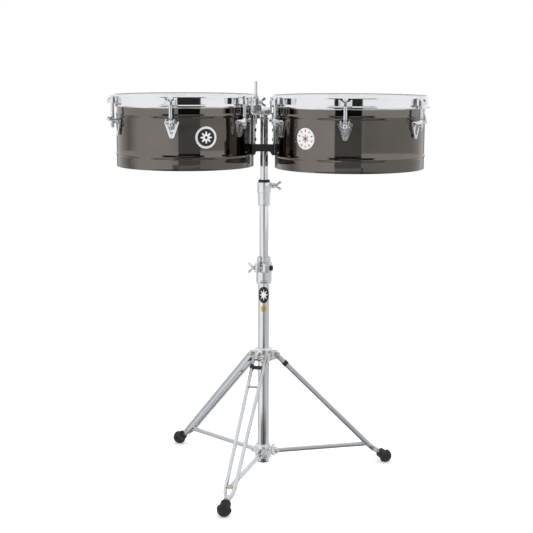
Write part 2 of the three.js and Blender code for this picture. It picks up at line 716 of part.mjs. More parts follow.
function tilter() {
  const group = new THREE.Group();
  group.add(part("tilter_body", tilterBody(), chrome));
  group.add(part("tilter_yoke", tilterYoke(), chrome));
  const tiltWing = part("tilter_wing", wingScrew(5.6, 3.2, 12), chrome);
  tiltWing.position.set(0, 10.5, TILT_AXIS_Z);
  tiltWing.rotation.z = Math.PI / 2;
  group.add(tiltWing);
  group.add(part("crossbar", crossbar(), blackSteel));
  const rodPart = part("cowbell_rod", cowbellRod(), chrome);
  rodPart.position.set(ROD_HOLDER.x, ROD_HOLDER.y, 0);
  group.add(rodPart);
  const rodWing = part("cowbell_rod_wing", wingScrew(2.5, 3.2, 12), chrome);
  rodWing.position.set(ROD_HOLDER.x + 8, ROD_HOLDER.y, ROD_SCREW_Z);
  group.add(rodWing);
  return group;
}

const small = drum("small", SMALL_RADIUS, -SHELL_SPACING - SMALL_RADIUS, 0, SMALL_BADGE);
const large = drum("large", LARGE_RADIUS, SHELL_SPACING + LARGE_RADIUS, 180, LARGE_BADGE);
const fromFloor = new THREE.Group();
fromFloor.add(stand(), tilter(), small, large);
fromFloor.position.z = -POST_FOOT;

const timbales = new THREE.Group();
timbales.add(fromFloor);
export default timbales;
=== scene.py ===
"""Looks of the timbales: two black-nickel drums on a chromed, double-braced tripod stand.

Every piece is built here in millimetres, in the CAD model's frame, and rides on a CAD body.
Places and main sizes come from the frame: node boxes, joints and mounts. Each drum is built
about its own axis, and each leg in its own upright plane, and then moved into place.
"""
import json
import math

import bmesh
import bpy
from mathutils import Matrix, Vector


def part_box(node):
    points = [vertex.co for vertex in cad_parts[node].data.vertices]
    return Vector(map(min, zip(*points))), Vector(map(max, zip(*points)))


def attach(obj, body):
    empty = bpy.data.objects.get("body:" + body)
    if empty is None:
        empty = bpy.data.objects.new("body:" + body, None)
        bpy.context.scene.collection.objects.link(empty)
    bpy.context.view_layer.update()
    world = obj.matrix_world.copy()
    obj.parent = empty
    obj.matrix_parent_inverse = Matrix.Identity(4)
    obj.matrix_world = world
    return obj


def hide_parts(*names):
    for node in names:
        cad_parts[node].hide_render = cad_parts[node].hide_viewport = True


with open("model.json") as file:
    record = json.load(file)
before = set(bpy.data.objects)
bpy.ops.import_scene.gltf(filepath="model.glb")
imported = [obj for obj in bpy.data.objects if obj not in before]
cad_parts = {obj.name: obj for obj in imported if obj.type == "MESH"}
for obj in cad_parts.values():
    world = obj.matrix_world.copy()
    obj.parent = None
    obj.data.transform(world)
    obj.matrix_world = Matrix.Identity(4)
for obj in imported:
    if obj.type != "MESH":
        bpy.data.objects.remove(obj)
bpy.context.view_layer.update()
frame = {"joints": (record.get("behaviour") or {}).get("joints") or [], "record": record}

MM = 0.001
TINY = 1e-9
BEAD_RISE = 1.8  # how far a shell's beads stand out
BEAD_HALF = 6.2  # half a bead's height
BEAD_HEIGHTS = (33, 133.5)  # above the shell's bottom edge
RIM_STEPS = 144  # segments of a drum's round pieces
SLEEVE_STEPS = 72  # segments of the post's tubes and clamps
TURN_STEPS = 48  # segments of other turned pieces


# ---------------------------------------------------------------- frame helpers
def corners(node):
    """The lowest and highest corner of a CAD node at rest, in millimetres."""
    low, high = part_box(node)
    return low / MM, high / MM


JOINTS = {joint["name"]: joint for joint in frame["joints"]}
MOUNTS = {mount["name"]: mount for mount in frame["record"]["mounts"]}


def joint_point(name):
    return Vector(JOINTS[name]["pos_m"]) / MM


# ---------------------------------------------------------------- outlines
def polar(radius, degrees):
    angle = math.radians(degrees)
    return radius * math.cos(angle), radius * math.sin(angle)


def arc(centre_x, centre_y, radius, start, end, steps=8):
    """Points on an arc between two angles in degrees."""
    points = [polar(radius, start + (end - start) * i / steps) for i in range(steps + 1)]
    return [(centre_x + x, centre_y + y) for x, y in points]


def circle(radius, steps=24):
    return arc(0, 0, radius, 0, 360 - 360 / steps, steps - 1)


def rectangle(low_x, high_x, low_y, high_y):
    return [(low_x, low_y), (high_x, low_y), (high_x, high_y), (low_x, high_y)]


def raised(points, height):
    """An outline whose heights were given above a level."""
    return [(x, y + height) for x, y in points]


def mirrored(points):
    return [(-x, y) for x, y in points]


def curve(start, middle, end, t):
    """A point on the quadratic curve between two points."""
    return start * (1 - t) ** 2 + middle * 2 * t * (1 - t) + end * t ** 2


def soften(points, radius, steps=4):
    """Rounds the corners of an outline. Corners on the axis of a turned piece stay sharp."""
    rounded = []
    for i, (x, y) in enumerate(points):
        if abs(x) < TINY:
            rounded.append((x, y))
            continue
        here = Vector((x, y))
        before = Vector(points[i - 1]) - here
        after = Vector(points[(i + 1) % len(points)]) - here
        reach = min(radius, 0.45 * before.length, 0.45 * after.length)
        start = here + before.normalized() * reach
        end = here + after.normalized() * reach
        rounded += [tuple(curve(start, here, end, k / steps)) for k in range(steps + 1)]
    return rounded


def anticlockwise(points):
    total = sum(x0 * y1 - x1 * y0 for (x0, y0), (x1, y1) in zip(points, points[1:] + points[:1]))
    return points if total >= 0 else points[::-1]


# ---------------------------------------------------------------- solids
def linked(name, data):
    obj = bpy.data.objects.new(name, data)
    bpy.context.scene.collection.objects.link(obj)
    return obj


def as_object(bm):
    """A new object from a bmesh in millimetres."""
    bmesh.ops.scale(bm, vec=(MM, MM, MM), verts=bm.verts)
    mesh = bpy.data.meshes.new("solid")
    bm.to_mesh(mesh)
    bm.free()
    return linked("solid", mesh)


def bridge(bm, first, second):
    """Faces between two closed rings of vertices, leaving out repeated corners."""
    for i in range(len(first)):
        k = (i + 1) % len(first)
        loop = list(dict.fromkeys((first[i], first[k], second[k], second[i])))
        if len(loop) > 2:
            bm.faces.new(loop)


def revolve(outline, steps=TURN_STEPS):
    """A solid of revolution about Z from (radius, height) points."""
    bm = bmesh.new()
    rings = []
    for radius, z in anticlockwise(outline):
        if abs(radius) < TINY:
            rings.append([bm.verts.new((0, 0, z))] * steps)
        else:
            rings.append([bm.verts.new((*polar(radius, 360 * i / steps), z)) for i in range(steps)])
    for lower, upper in zip(rings, rings[1:] + rings[:1]):
        bridge(bm, lower, upper)
    return as_object(bm)


def turned(outline, soft, corner_steps, steps):
    """A solid of revolution about Z with softened edges."""
    return revolve(soften(outline, soft, corner_steps), steps)


def prism(outline, low, high, bevel=0.6, segments=2):
    """An outline in the XY plane pulled from one height to another, its rims bevelled."""
    outline = anticlockwise(outline)
    bm = bmesh.new()
    base = [bm.verts.new((x, y, low)) for x, y in outline]
    top = [bm.verts.new((x, y, high)) for x, y in outline]
    bm.faces.new(base[::-1])
    bm.faces.new(top)
    bridge(bm, base, top)
    if bevel:
        ends = [e for e in bm.edges if abs(e.verts[0].co.z - e.verts[1].co.z) < 1e-6]
        bmesh.ops.bevel(bm, geom=ends, offset=bevel, segments=segments, profile=0.6,
                        affect="EDGES", clamp_overlap=True)
    return as_object(bm)


def upright(outline, low, high, bevel=0.6, segments=2):
    """As prism, but with the outline in the XZ plane, pulled along Y."""
    return moved(prism(outline, -high, -low, bevel, segments), rotation(90, "X"))


def sideways(outline, low, high, bevel=0.6, segments=2):
    """As prism, but with the outline in the YZ plane, pulled along X."""
    turn = rotation(90, "Z") @ rotation(90, "X")
    return moved(prism(outline, low, high, bevel, segments), turn)


def sweep(stations):
    """A bar through stations (centre, side, up, half width, half depth, edge radius)."""
    bm = bmesh.new()
    rings = []
    for centre, side, up, half_width, half_depth, edge in stations:
        edge = min(edge, half_width * 0.9, half_depth * 0.9)
        ring = []
        for corner, (sx, sy) in enumerate(((1, 1), (-1, 1), (-1, -1), (1, -1))):
            for k in range(4):
                x, y = polar(edge, 90 * (corner + k / 3))
                across, along = sx * (half_width - edge) + x, sy * (half_depth - edge) + y
                ring.append(bm.verts.new(centre + side * across + up * along))
        rings.append(ring)
    for first, second in zip(rings, rings[1:]):
        bridge(bm, first, second)
    bm.faces.new(rings[0][::-1])
    bm.faces.new(rings[-1])
    bmesh.ops.recalc_face_normals(bm, faces=bm.faces)
    return as_object(bm)


def rotation(degrees, axis):
    return Matrix.Rotation(math.radians(degrees), 4, axis)


def moved(obj, matrix):
    """Moves a solid by a matrix whose translation is in millimetres."""
    metres = matrix.copy()
    metres.translation = matrix.translation * MM
    obj.data.transform(metres)
    return obj


def shifted(obj, x, y, z):
    return moved(obj, Matrix.Translation((x, y, z)))


def along_x(obj):
    """Turns a solid built about Z so that its +Z end points along +X."""
    return moved(obj, rotation(90, "Y"))


def along_y(obj):
    """Turns a solid built about Z so that its +Z end points along +Y."""
    return moved(obj, rotation(-90, "X"))


def around(obj, degrees):
    return moved(obj, rotation(degrees, "Z"))


def boolean(obj, tools, operation):
    for tool in tools:
        modifier = obj.modifiers.new("boolean", "BOOLEAN")
        modifier.operation = operation
        modifier.solver = "MANIFOLD"
        modifier.object = tool
    result = obj.evaluated_get(bpy.context.evaluated_depsgraph_get())
    mesh = bpy.data.meshes.new_from_object(result)
    obj.modifiers.clear()
    obj.data = mesh
    for tool in tools:
        bpy.data.objects.remove(tool)
    return obj


def joined(first, *others):
    return boolean(first, others, "UNION")


def cut(first, *tools):
    return boolean(first, tools, "DIFFERENCE")


def copy_of(obj):
    return linked("solid", obj.data.copy())


def cylinder(radius, low, high, steps=24, edge=0.4):
    return turned([(0, low), (radius, low), (radius, high), (0, high)], edge, 3, steps)


def bar_x(radius, low, high, steps=32, edge=0.1, at=(0, 0, 0)):
    """A round bar along X, used for bores too."""
    return shifted(along_x(cylinder(radius, low, high, steps, edge)), *at)


def bar_y(radius, low, high, steps=24, edge=0.1, at=(0, 0, 0)):
    return shifted(along_y(cylinder(radius, low, high, steps, edge)), *at)


def turned_x(outline, soft, corner_steps, steps, at=(0, 0, 0)):
    """A turned solid about X, from (radius, x) points."""
    return shifted(along_x(turned(outline, soft, corner_steps, steps)), *at)


def rivet(radius, low, high, dome=1.2, steps=24):
    """A pin along Y with a low domed head at both ends."""
    flank = arc(0, high - dome, radius, 0, 90, 6)
    top = [(x, high - dome + (y - high + dome) * dome / radius) for x, y in flank]
    bottom = [(x, low + high - y) for x, y in top]
    return along_y(revolve(bottom[::-1] + top, steps))


def shade(mesh, angle):
    """Smooth faces, with sharp edges where two faces meet at more than the angle."""
    bm = bmesh.new()
    bm.from_mesh(mesh)
    limit = math.radians(angle)
    for face in bm.faces:
        face.smooth = True
    for edge in bm.edges:
        edge.smooth = len(edge.link_faces) != 2 or edge.calc_face_angle(0) <= limit
    bm.to_mesh(mesh)
    bm.free()


def piece(obj, name, body, material, replaced="", angle=32):
    """Names a finished solid, gives it its material and lets it ride on its body.

    It stands for the replaced CAD node, if that is given.
    """
    obj.name = name
    obj.data.name = name
    obj.data.materials.clear()
    obj.data.materials.append(material)
    shade(obj.data, angle)
    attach(obj, body)
    if replaced:
        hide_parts(replaced)


# ---------------------------------------------------------------- materials
def add_node(tree, kind, inputs, **settings):
    """Adds a shader node and feeds its inputs with values or with other nodes' outputs."""
    node = tree.nodes.new("ShaderNode" + kind)
    for name, value in settings.items():
        setattr(node, name, value)
    for name, value in inputs.items():
        if isinstance(value, bpy.types.NodeSocket):
            tree.links.new(value, node.inputs[name])
        else:
            node.inputs[name].default_value = value
    return node


def new_material(name, color, metallic, roughness):
    material = bpy.data.materials.new(name)
    material.use_nodes = True
    shader = material.node_tree.nodes["Principled BSDF"]
    shader.inputs["Base Color"].default_value = (*color, 1)
    shader.inputs["Metallic"].default_value = metallic
    shader.inputs["Roughness"].default_value = roughness
    return material, material.node_tree, shader


def coordinates(tree, kind="Object"):
    return add_node(tree, "TexCoord", {}).outputs[kind]


def noise(tree, scale, detail=4.0, stretch=(1, 1, 1)):
    """A noise value between 0 and 1 in object space; the scale is per metre."""
    mapping = add_node(tree, "Mapping", {"Scale": stretch, "Vector": coordinates(tree)})
    inputs = {"Scale": scale, "Detail": detail, "Vector": mapping.outputs["Vector"]}
    return add_node(tree, "TexNoise", inputs).outputs["Fac"]


def spread(tree, value, low, high, from_low=0.3, from_high=0.7):
    """Stretches a value to run from low to high."""
    return add_node(tree, "MapRange", {"From Min": from_low, "From Max": from_high, "To Min": low,
                                       "To Max": high, "Value": value}).outputs["Result"]


def between(tree, value, first, second):
    """Mixes two colours by a value."""
    return add_node(tree, "Mix", {"A": (*first, 1), "B": (*second, 1), "Factor": value},
                    data_type="RGBA").outputs["Result"]


def bump(tree, shader, layers):
    """Adds bump layers of (height value, strength, distance in millimetres)."""
    previous = None
    for height, strength, distance in layers:
        inputs = {"Strength": strength, "Distance": distance * MM, "Height": height}
        if previous:
            inputs["Normal"] = previous
        previous = add_node(tree, "Bump", inputs).outputs["Normal"]
    tree.links.new(previous, shader.inputs["Normal"])


def vary(tree, shader, tone, colors, gloss, rough_range):
    """Lets the colour and the roughness wander between two values with a noise each."""
    links = tree.links
    links.new(between(tree, tone, *colors), shader.inputs["Base Color"])
    links.new(spread(tree, gloss, *rough_range), shader.inputs["Roughness"])


def plated(name, color, shade_color, roughness, ripple=0.02, drawn=(1, 1, 1), metallic=1.0):
    """Bright plating: slightly uneven colour and gloss, faint ripple and hairline scratches."""
    material, tree, shader = new_material(name, color, metallic, roughness)
    vary(tree, shader, spread(tree, noise(tree, 9, 5), 0, 1), (color, shade_color),
         noise(tree, 60, 6, drawn), (roughness * 0.7, roughness * 1.7))
    hairlines = noise(tree, 900, 3, (1, 1, 0.03))
    bump(tree, shader, [(noise(tree, 35, 2, drawn), ripple, 0.4), (hairlines, 0.012, 0.02)])
    return material


def moulded(name, color, light_color, roughness, grain, grain_depth):
    """Rubber, plastic or enamel: fine grain, slight mottling, dull and glossy patches."""
    material, tree, shader = new_material(name, color, 0.0, roughness)
    vary(tree, shader, spread(tree, noise(tree, 55, 6), 0, 1), (color, light_color),
         noise(tree, 25, 4), (roughness * 0.8, min(1, roughness * 1.25)))
    bump(tree, shader, [(noise(tree, grain, 3), 0.35, grain_depth)])
    return material


def threaded(name, color, pitch):
    """Plated thread: fine rings along the piece's Z, one pitch apart."""
    material, tree, shader = new_material(name, color, 1.0, 0.16)
    inputs = {"Scale": 0.314 / (pitch * MM), "Distortion": 0, "Vector": coordinates(tree)}
    wave = add_node(tree, "TexWave", inputs, bands_direction="Z")
    bump(tree, shader, [(wave.outputs["Fac"], 0.9, 0.5)])
    return material


def coated_film(name):
    """Drum head: white sprayed coating with a pebbled grain over a milky film."""
    material, tree, shader = new_material(name, (0.86, 0.86, 0.84), 0.0, 0.6)
    vary(tree, shader, spread(tree, noise(tree, 140, 8), 0, 1, 0.35, 0.65),
         ((0.80, 0.80, 0.77), (0.90, 0.90, 0.88)), noise(tree, 700, 2), (0.45, 0.8))
    bump(tree, shader, [(noise(tree, 900, 2), 0.5, 0.12), (noise(tree, 12, 2), 0.1, 0.5)])
    shader.inputs["Subsurface Weight"].default_value = 0.05
    return material



CHROME = plated("chrome", (0.84, 0.85, 0.87), (0.78, 0.80, 0.82), 0.055)
TUBE_CHROME = plated("tube_chrome", (0.80, 0.81, 0.83), (0.74, 0.75, 0.78), 0.10, 0.01,
                     (1, 1, 0.05))
BAR_CHROME = plated("bar_chrome", (0.72, 0.75, 0.78), (0.64, 0.67, 0.71), 0.16, 0.03)
BLACK_NICKEL = plated("black_nickel", (0.190, 0.172, 0.156), (0.167, 0.152, 0.138), 0.05, 0.006)
CAST_CHROME = plated("cast_chrome", (0.84, 0.85, 0.87), (0.70, 0.72, 0.75), 0.07, 0.03,
                     metallic=0.82)
# Bracket plates: chrome given a near-white, mostly non-metallic base, a painted reflection that
# stands in for the bright room mirrored in the chrome.
PLATE_PAINTED_REFLECTION = plated("plate_painted_reflection", (0.92, 0.93, 0.94), (0.86, 0.88, 0.90), 0.2, 0.03,
                      metallic=0.25)
BADGE_RIM = plated("badge_rim", (0.88, 0.89, 0.90), (0.82, 0.83, 0.85), 0.3, 0.02, metallic=0.4)
ZINC = plated("yellow_zinc", (0.72, 0.66, 0.50), (0.62, 0.57, 0.45), 0.28, 0.05)
STEEL = plated("bright_steel", (0.70, 0.71, 0.72), (0.62, 0.63, 0.64), 0.22, 0.03)
GOLD_FOIL = plated("gold_foil", (0.80, 0.66, 0.16), (0.72, 0.60, 0.18), 0.3, 0.05)
THREAD = threaded("rod_thread", (0.74, 0.75, 0.77), 1.0)
FILM = coated_film("coated_film")
BLACK_STEEL = moulded("black_enamel", (0.012, 0.012, 0.013), (0.02, 0.02, 0.022), 0.42, 260, 0.05)
RUBBER = moulded("black_rubber", (0.012, 0.012, 0.013), (0.028, 0.028, 0.03), 0.72, 500, 0.12)
PLASTIC = moulded("black_plastic", (0.014, 0.014, 0.015), (0.024, 0.024, 0.026), 0.45, 700, 0.04)
BLACK_ENAMEL = moulded("badge_black", (0.01, 0.01, 0.011), (0.016, 0.016, 0.017), 0.2, 300, 0.01)
WHITE_ENAMEL = moulded("badge_white", (0.83, 0.83, 0.82), (0.88, 0.88, 0.87), 0.22, 300, 0.01)
RED_ENAMEL = moulded("badge_red", (0.50, 0.03, 0.06), (0.58, 0.05, 0.08), 0.25, 300, 0.01)
GREY_ENAMEL = moulded("badge_grey", (0.30, 0.31, 0.32), (0.36, 0.37, 0.38), 0.3, 300, 0.01)


# ---------------------------------------------------------------- the post
VIEW_AZIMUTH = 6.8  # the camera's heading from +Y towards -X
FRONT = VIEW_AZIMUTH - 90  # azimuth of the side that faces the viewer


def tube(node, body, wall):
    low, high = corners(node)
    radius = (high.x - low.x) / 2
    shell = turned(rectangle(radius - wall, radius, low.z, high.z), 0.5, 3, SLEEVE_STEPS)
    piece(shell, f"{node}_shell", body, TUBE_CHROME, node)
    return radius


BASE_RADIUS = tube("base_tube", "base", 1.8)
tube("middle_tube", "middle_tube", 1.4)
TOP_RADIUS = tube("top_tube", "top_tube", 1.5)
BASE_BORE = BASE_RADIUS + 0.3  # inside of the castings round the base tube


def base_plug():
    low, high = corners("base_plug")
    rim = low.z + 1.7
    inside = BASE_RADIUS - 2.1
    outline = [(0, low.z + 0.6), (4, low.z + 0.6), (5, low.z), (BASE_RADIUS, low.z),
               (BASE_RADIUS, rim), (inside, rim), (inside, high.z), (0, high.z)]
    piece(turned(outline, 0.6, 3, 60), "post_plug", "base", PLASTIC,
          "base_plug")


def emblem(name, body, radius, azimuth, height, width, tall, parts, axis=(0, 0), node=""):
    """Thin raised shapes bent round an upright cylinder, first the plate and then its ornaments.

    Each part is (outline, thickness, material), its outline scaled by the half width and height.
    """
    longest = max(radius * 0.07, 2)  # edges longer than this are split before the bending
    for i, (outline, thickness, material) in enumerate(parts):
        bm = bmesh.new()
        bottom, top = ([bm.verts.new((x * width / 2, y * tall / 2, depth)) for x, y in outline]
                       for depth in (0.25, thickness))
        bridge(bm, bottom, top)
        ends = [bm.faces.new(top), bm.faces.new(bottom[::-1])]
        bm.normal_update()
        bmesh.ops.triangulate(bm, faces=ends, ngon_method="EAR_CLIP")
        for _ in range(5):
            wide = [e for e in bm.edges if e.calc_length() > longest]
            if wide:
                bmesh.ops.subdivide_edges(bm, edges=wide, cuts=1)
                bmesh.ops.triangulate(bm, faces=bm.faces)
        for vert in bm.verts:
            across, up, out = vert.co
            angle = azimuth + math.degrees(across / radius)
            vert.co = (*polar(radius + out, angle), height + up)
        bmesh.ops.recalc_face_normals(bm, faces=bm.faces)
        solid = shifted(as_object(bm), axis[0], axis[1], 0)
        piece(solid, f"{name}_ornament_{i}" if i else name, body, material, "" if i else node, 40)


def star(points, outer, inner):
    return [polar(inner if i % 2 else outer, 90 + 180 * i / points) for i in range(2 * points)]


def post_marks():
    """A round black label with a plain ornament, and a small gold seal below it."""
    label_height = corners("base_tube")[1].z - 82.5
    label = [(circle(1, 48), 0.45, BLACK_ENAMEL), (star(8, 0.74, 0.3), 0.55, WHITE_ENAMEL)]
    emblem("post_label", "base", BASE_RADIUS, FRONT, label_height, 31, 43, label)
    seal = [(circle(1, 32), 0.4, GOLD_FOIL), (star(6, 0.6, 0.35), 0.48, GOLD_FOIL)]
    emblem("post_seal", "base", BASE_RADIUS, FRONT - 4, label_height - 37, 16, 16, seal)


base_plug()
post_marks()


# ---------------------------------------------------------------- wing screws
def wing_screw(reach, stem_radius, span):
    """A cast wing screw along +X: its stem ends at the origin, where the hub starts."""
    hub = turned_x([(0, 0.3), (5.2, 0.3), (6.2, 1.6), (5, 7), (3.2, 8.8), (0, 8.8)], 0.9, 4, 32)
    wing = [(1.4, 4.2), (5, 4.6), (11, span - 1), (13.6, span), (17, span - 2.6),
            (16.4, span - 5.5), (9.2, 2.2), (8, 0)]
    outline = wing + [(x, -y) for x, y in wing[-2::-1]]
    blades = upright(soften(outline, 2.4, 4), -2.1, 2.1, 1.0, 3)
    collar = turned_x([(0, -1.2), (4.4, -1.2), (4.4, 0.8), (0, 0.8)], 0.4, 2, 24)
    stem = turned_x([(0, -reach), (stem_radius - 0.5, -reach), (stem_radius, 0.6 - reach),
                     (stem_radius, 0.5), (0, 0.5)], 0.3, 2, 24)
    return joined(hub, blades, collar, stem)


def along_joint(joint, direction=1):
    """The matrix that carries a screw built along +X to a joint's place and axis."""
    axis = Vector(JOINTS[joint]["axis"]).normalized() * direction
    up = Vector((0, 0, 1))
    matrix = Matrix((axis, up.cross(axis).normalized(), up)).transposed().to_4x4()
    matrix.translation = joint_point(joint)
    return matrix


def wing_pieces():
    far = 2 * abs(joint_point("base_clamp_wing_turn").x)  # the bolt's length
    to_clamp = along_joint("base_clamp_wing_turn", -1)
    piece(moved(wing_screw(far, 3, 14.5), to_clamp), "base_clamp_wing_screw", "base_clamp_wing",
          CAST_CHROME, "base_clamp_wing")
    head = turned_x(raised([(0, -6), (5.6, -6), (6.4, -4.6), (6.4, -0.3), (0, -0.3)], -far),
                    0.9, 4, 32)
    slot = upright(rectangle(-far - 8, -far - 4.8, -0.8, 0.8), -8, 8, 0)
    piece(moved(cut(head, slot), to_clamp), "base_clamp_bolt_head", "base_clamp_wing", PLASTIC)
    for node, reach, radius, span in (("top_clamp_wing", 17, 3.5, 12),
                                      ("lower_collar_wing", 9.3, 3.5, 17),
                                      ("tilter_wing", 5.6, 3.2, 12),
                                      ("cowbell_rod_wing", 2.5, 3.2, 12)):
        screw = moved(wing_screw(reach, radius, span), along_joint(f"{node}_turn"))
        piece(screw, f"{node}_screw", node, CAST_CHROME, node)


wing_pieces()


# ---------------------------------------------------------------- post clamps
def base_clamp():
    low, high = corners("base_clamp")
    joint = joint_point("base_clamp_wing_turn")
    body_top = low.z + 33
    band_top = low.z + 59
    outline = [(BASE_BORE, low.z), (18.6, low.z), (20.2, low.z + 5), (21, low.z + 9),
               (21, body_top), (22.6, body_top + 1.5), (22.6, band_top - 1.5), (18.4, band_top),
               (18.4, high.z - 2.5), (16.6, high.z), (12.4, high.z), (12.4, high.z - 17),
               (BASE_BORE, high.z - 17.4)]
    left_ear = [(-21, -14), (-21, -29), (-17, -33), (-8, -33), (-7, -32), (-7, -14)]
    right_ear = [(1.6, -14), (1.6, -32), (2.6, -33), (17, -33), (21, -29), (21, -14)]
    ears = [prism(soften(ear, 1.2, 3), body_top + 1.5, band_top - 1.5, 1.0, 3)
            for ear in (left_ear, right_ear)]
    slit = prism(rectangle(-6.9, 1.5, -40, -10), body_top, high.z + 1, 0)
    hole = bar_x(3.5, -30, 30, at=(0, joint.y, joint.z))
    clamp = cut(joined(turned(outline, 1.1, 4, SLEEVE_STEPS), *ears), slit, hole)
    piece(clamp, "base_clamp_body", "base", CAST_CHROME, "base_clamp")
    band = rectangle(BASE_RADIUS + 0.2, 21.25, low.z + 11.2, low.z + 12.4)
    piece(turned(band, 0.3, 2, SLEEVE_STEPS), "base_clamp_band", "base", STEEL)
    washer = turned_x(rectangle(3.7, 7.6, 20.2, 21.6), 0.4, 2, 32, at=(0, joint.y, joint.z))
    piece(washer, "base_clamp_washer", "base", PLASTIC)


def top_clamp():
    low, high = corners("top_clamp")
    joint = joint_point("top_clamp_wing_turn")
    step = low.z + 34
    collar = high.z - 6
    outline = [(12.3, low.z), (14.2, low.z), (15.2, low.z + 3), (16.2, step), (18, step + 1.2),
               (18, collar), (10.4, collar), (10.4, step + 1), (12.3, step + 0.6)]
    boss = turned_x([(3.9, 16), (6.2, 16), (7, 18.5), (7, joint.x - 1.4), (6, joint.x - 0.2),
                     (3.9, joint.x - 0.2)], 0.8, 3, 40, at=(0, 0, joint.z))
    clamp = cut(joined(turned(outline, 0.9, 4, SLEEVE_STEPS), boss),
                bar_x(3.9, 9, 30, at=(0, 0, joint.z)))
    piece(clamp, "top_clamp_body", "middle_tube", CAST_CHROME, "top_clamp")
    ring = [(10.3, collar + 0.2), (15, collar + 0.2), (15, high.z - 1.5), (13.6, high.z),
            (10.3, high.z)]
    piece(turned(ring, 0.7, 3, SLEEVE_STEPS), "top_clamp_ring", "middle_tube", PLASTIC)


base_clamp()
top_clamp()


# ---------------------------------------------------------------- tripod
LEG_PIVOT = joint_point("leg_1_fold")
STRUT_PIVOT = joint_point("strut_1_swing")
PIVOT_RADIUS = math.hypot(LEG_PIVOT.x, LEG_PIVOT.y)
SOLE = Vector(MOUNTS["foot_1_sole"]["pos_m"]) / MM
FOOT_RADIUS = math.hypot(SOLE.x, SOLE.y)
FLOOR = SOLE.z
BALL_HEIGHT = 17  # centre of the foot's ball above the floor
BALL = (FOOT_RADIUS, 0, FLOOR + BALL_HEIGHT)
FOOT_LEAN = 54.6  # the foot's axis from the vertical
LEAN_OUT = rotation(-FOOT_LEAN, "Y")
OUTER_PIVOT = (293, STRUT_PIVOT.z)  # where a strut meets its leg: distance out, height
LEG_RUN = math.hypot(OUTER_PIVOT[0] - PIVOT_RADIUS, LEG_PIVOT.z - OUTER_PIVOT[1])
BAR_DEPTH = 6.75  # half depth and half width of a leg's bars
BAR_WIDTH = 3.1
TOP_SPREAD = 16  # from the leg's plane to the middle of a bar, at its pivot and at its bend
END_SPREAD = 11.5
END_ARC = 82  # degrees of a half-round bar end, which starts 8 degrees from its tip


def leg_azimuth(n):
    pivot = joint_point(f"leg_{n}_fold")
    return math.degrees(math.atan2(pivot.y, pivot.x))


def spider():
    low, high = corners("spider")
    outline = [(BASE_BORE, low.z), (21.5, low.z), (23, low.z + 1.6), (23, high.z - 4),
               (20.5, high.z), (BASE_BORE, high.z)]
    half, z = TOP_SPREAD - BAR_WIDTH - 0.9, LEG_PIVOT.z
    plate = arc(PIVOT_RADIUS, z, 9.6, -78, 90, 12)
    plate += raised([(20, 11.5), (16.5, 11.5), (16.5, -12.5), (22, -12.5)], z)
    lugs = []
    holes = []
    for n in (1, 2, 3):
        azimuth = leg_azimuth(n)
        lugs.append(around(upright(soften(plate, 0.8, 2), -half, half, 1.0, 3), azimuth))
        holes.append(around(bar_y(3.3, -20, 20, at=(PIVOT_RADIUS, 0, z)), azimuth))
        holes.append(around(upright(rectangle(25.5, 60, z - 14, z + 14), -4.6, 4.6, 0), azimuth))
    casting = cut(joined(turned(outline, 0.9, 4, SLEEVE_STEPS), *lugs), *holes)
    piece(casting, "spider_casting", "base", CAST_CHROME, "spider")
    screw = cut(cylinder(4.4, 18, 27.5, 6, 0.3), cylinder(2.4, 25.5, 29, 6, 0.1))
    screw = around(shifted(along_x(screw), 0, 0, high.z - 9), leg_azimuth(1) - 60)
    piece(screw, "spider_set_screw", "base", STEEL)


def lower_collar():
    low, high = corners("lower_collar")
    joint = joint_point("lower_collar_wing_turn")
    outline = [(BASE_BORE, low.z), (19.4, low.z), (21, low.z + 1.4), (21, high.z - 3.5),
               (18.2, high.z), (BASE_BORE, high.z)]
    z = STRUT_PIVOT.z
    plate = arc(PIVOT_RADIUS, z, 7.4, -90, 90, 12)
    plate += raised([(24, 9.5), (15.8, 12), (15.8, -10), (24, -8)], z)
    cheeks = []
    holes = []
    for n in (1, 2, 3):
        for near, far in ((-8.4, -4.1), (4.1, 8.4)):
            cheek = upright(soften(plate, 0.8, 2), near, far, 0.8, 3)
            cheeks.append(around(cheek, leg_azimuth(n)))
        holes.append(around(bar_y(3.3, -14, 14, at=(PIVOT_RADIUS, 0, z)), leg_azimuth(n)))
    wing_azimuth = math.degrees(math.atan2(joint.y, joint.x))
    face = math.hypot(joint.x, joint.y) - 0.2
    boss = turned_x([(3.8, 17), (7.2, 17), (8, 20), (8, face - 1.2), (7, face), (3.8, face)],
                    0.8, 3, 40, at=(0, 0, joint.z))
    ridge = [(16, low.z + 1), (22.4, low.z + 2), (22.4, high.z - 6), (16, high.z - 4)]
    ridges = [around(upright(ridge, -4.2, 4.2, 0.9, 3), leg_azimuth(n) - 150) for n in (1, 3)]
    holes.append(around(bar_x(3.8, 14, face + 2, at=(0, 0, joint.z)), wing_azimuth))
    ring = turned(outline, 0.9, 4, SLEEVE_STEPS)
    body = cut(joined(ring, around(boss, wing_azimuth), *cheeks, *ridges), *holes)
    piece(body, "lower_collar_casting", "lower_collar", CAST_CHROME, "lower_collar")


def along_leg(distance):
    """A point on a leg's centre line, (distance out, height), at a distance from its pivot."""
    share = distance / LEG_RUN
    return (PIVOT_RADIUS + share * (OUTER_PIVOT[0] - PIVOT_RADIUS),
            LEG_PIVOT.z + share * (OUTER_PIVOT[1] - LEG_PIVOT.z))


def half_round(spot, out, side, up, half_width, half_depth, edge):
    """Stations from the tip of a bar's half-round end to its full depth."""
    stations = []
    for k in range(7):
        angle = math.radians(90 - END_ARC * (6 - k) / 6)
        centre = spot + out * half_depth * math.cos(angle)
        stations.append((centre, side, up, half_width, half_depth * math.sin(angle), edge))
    return stations


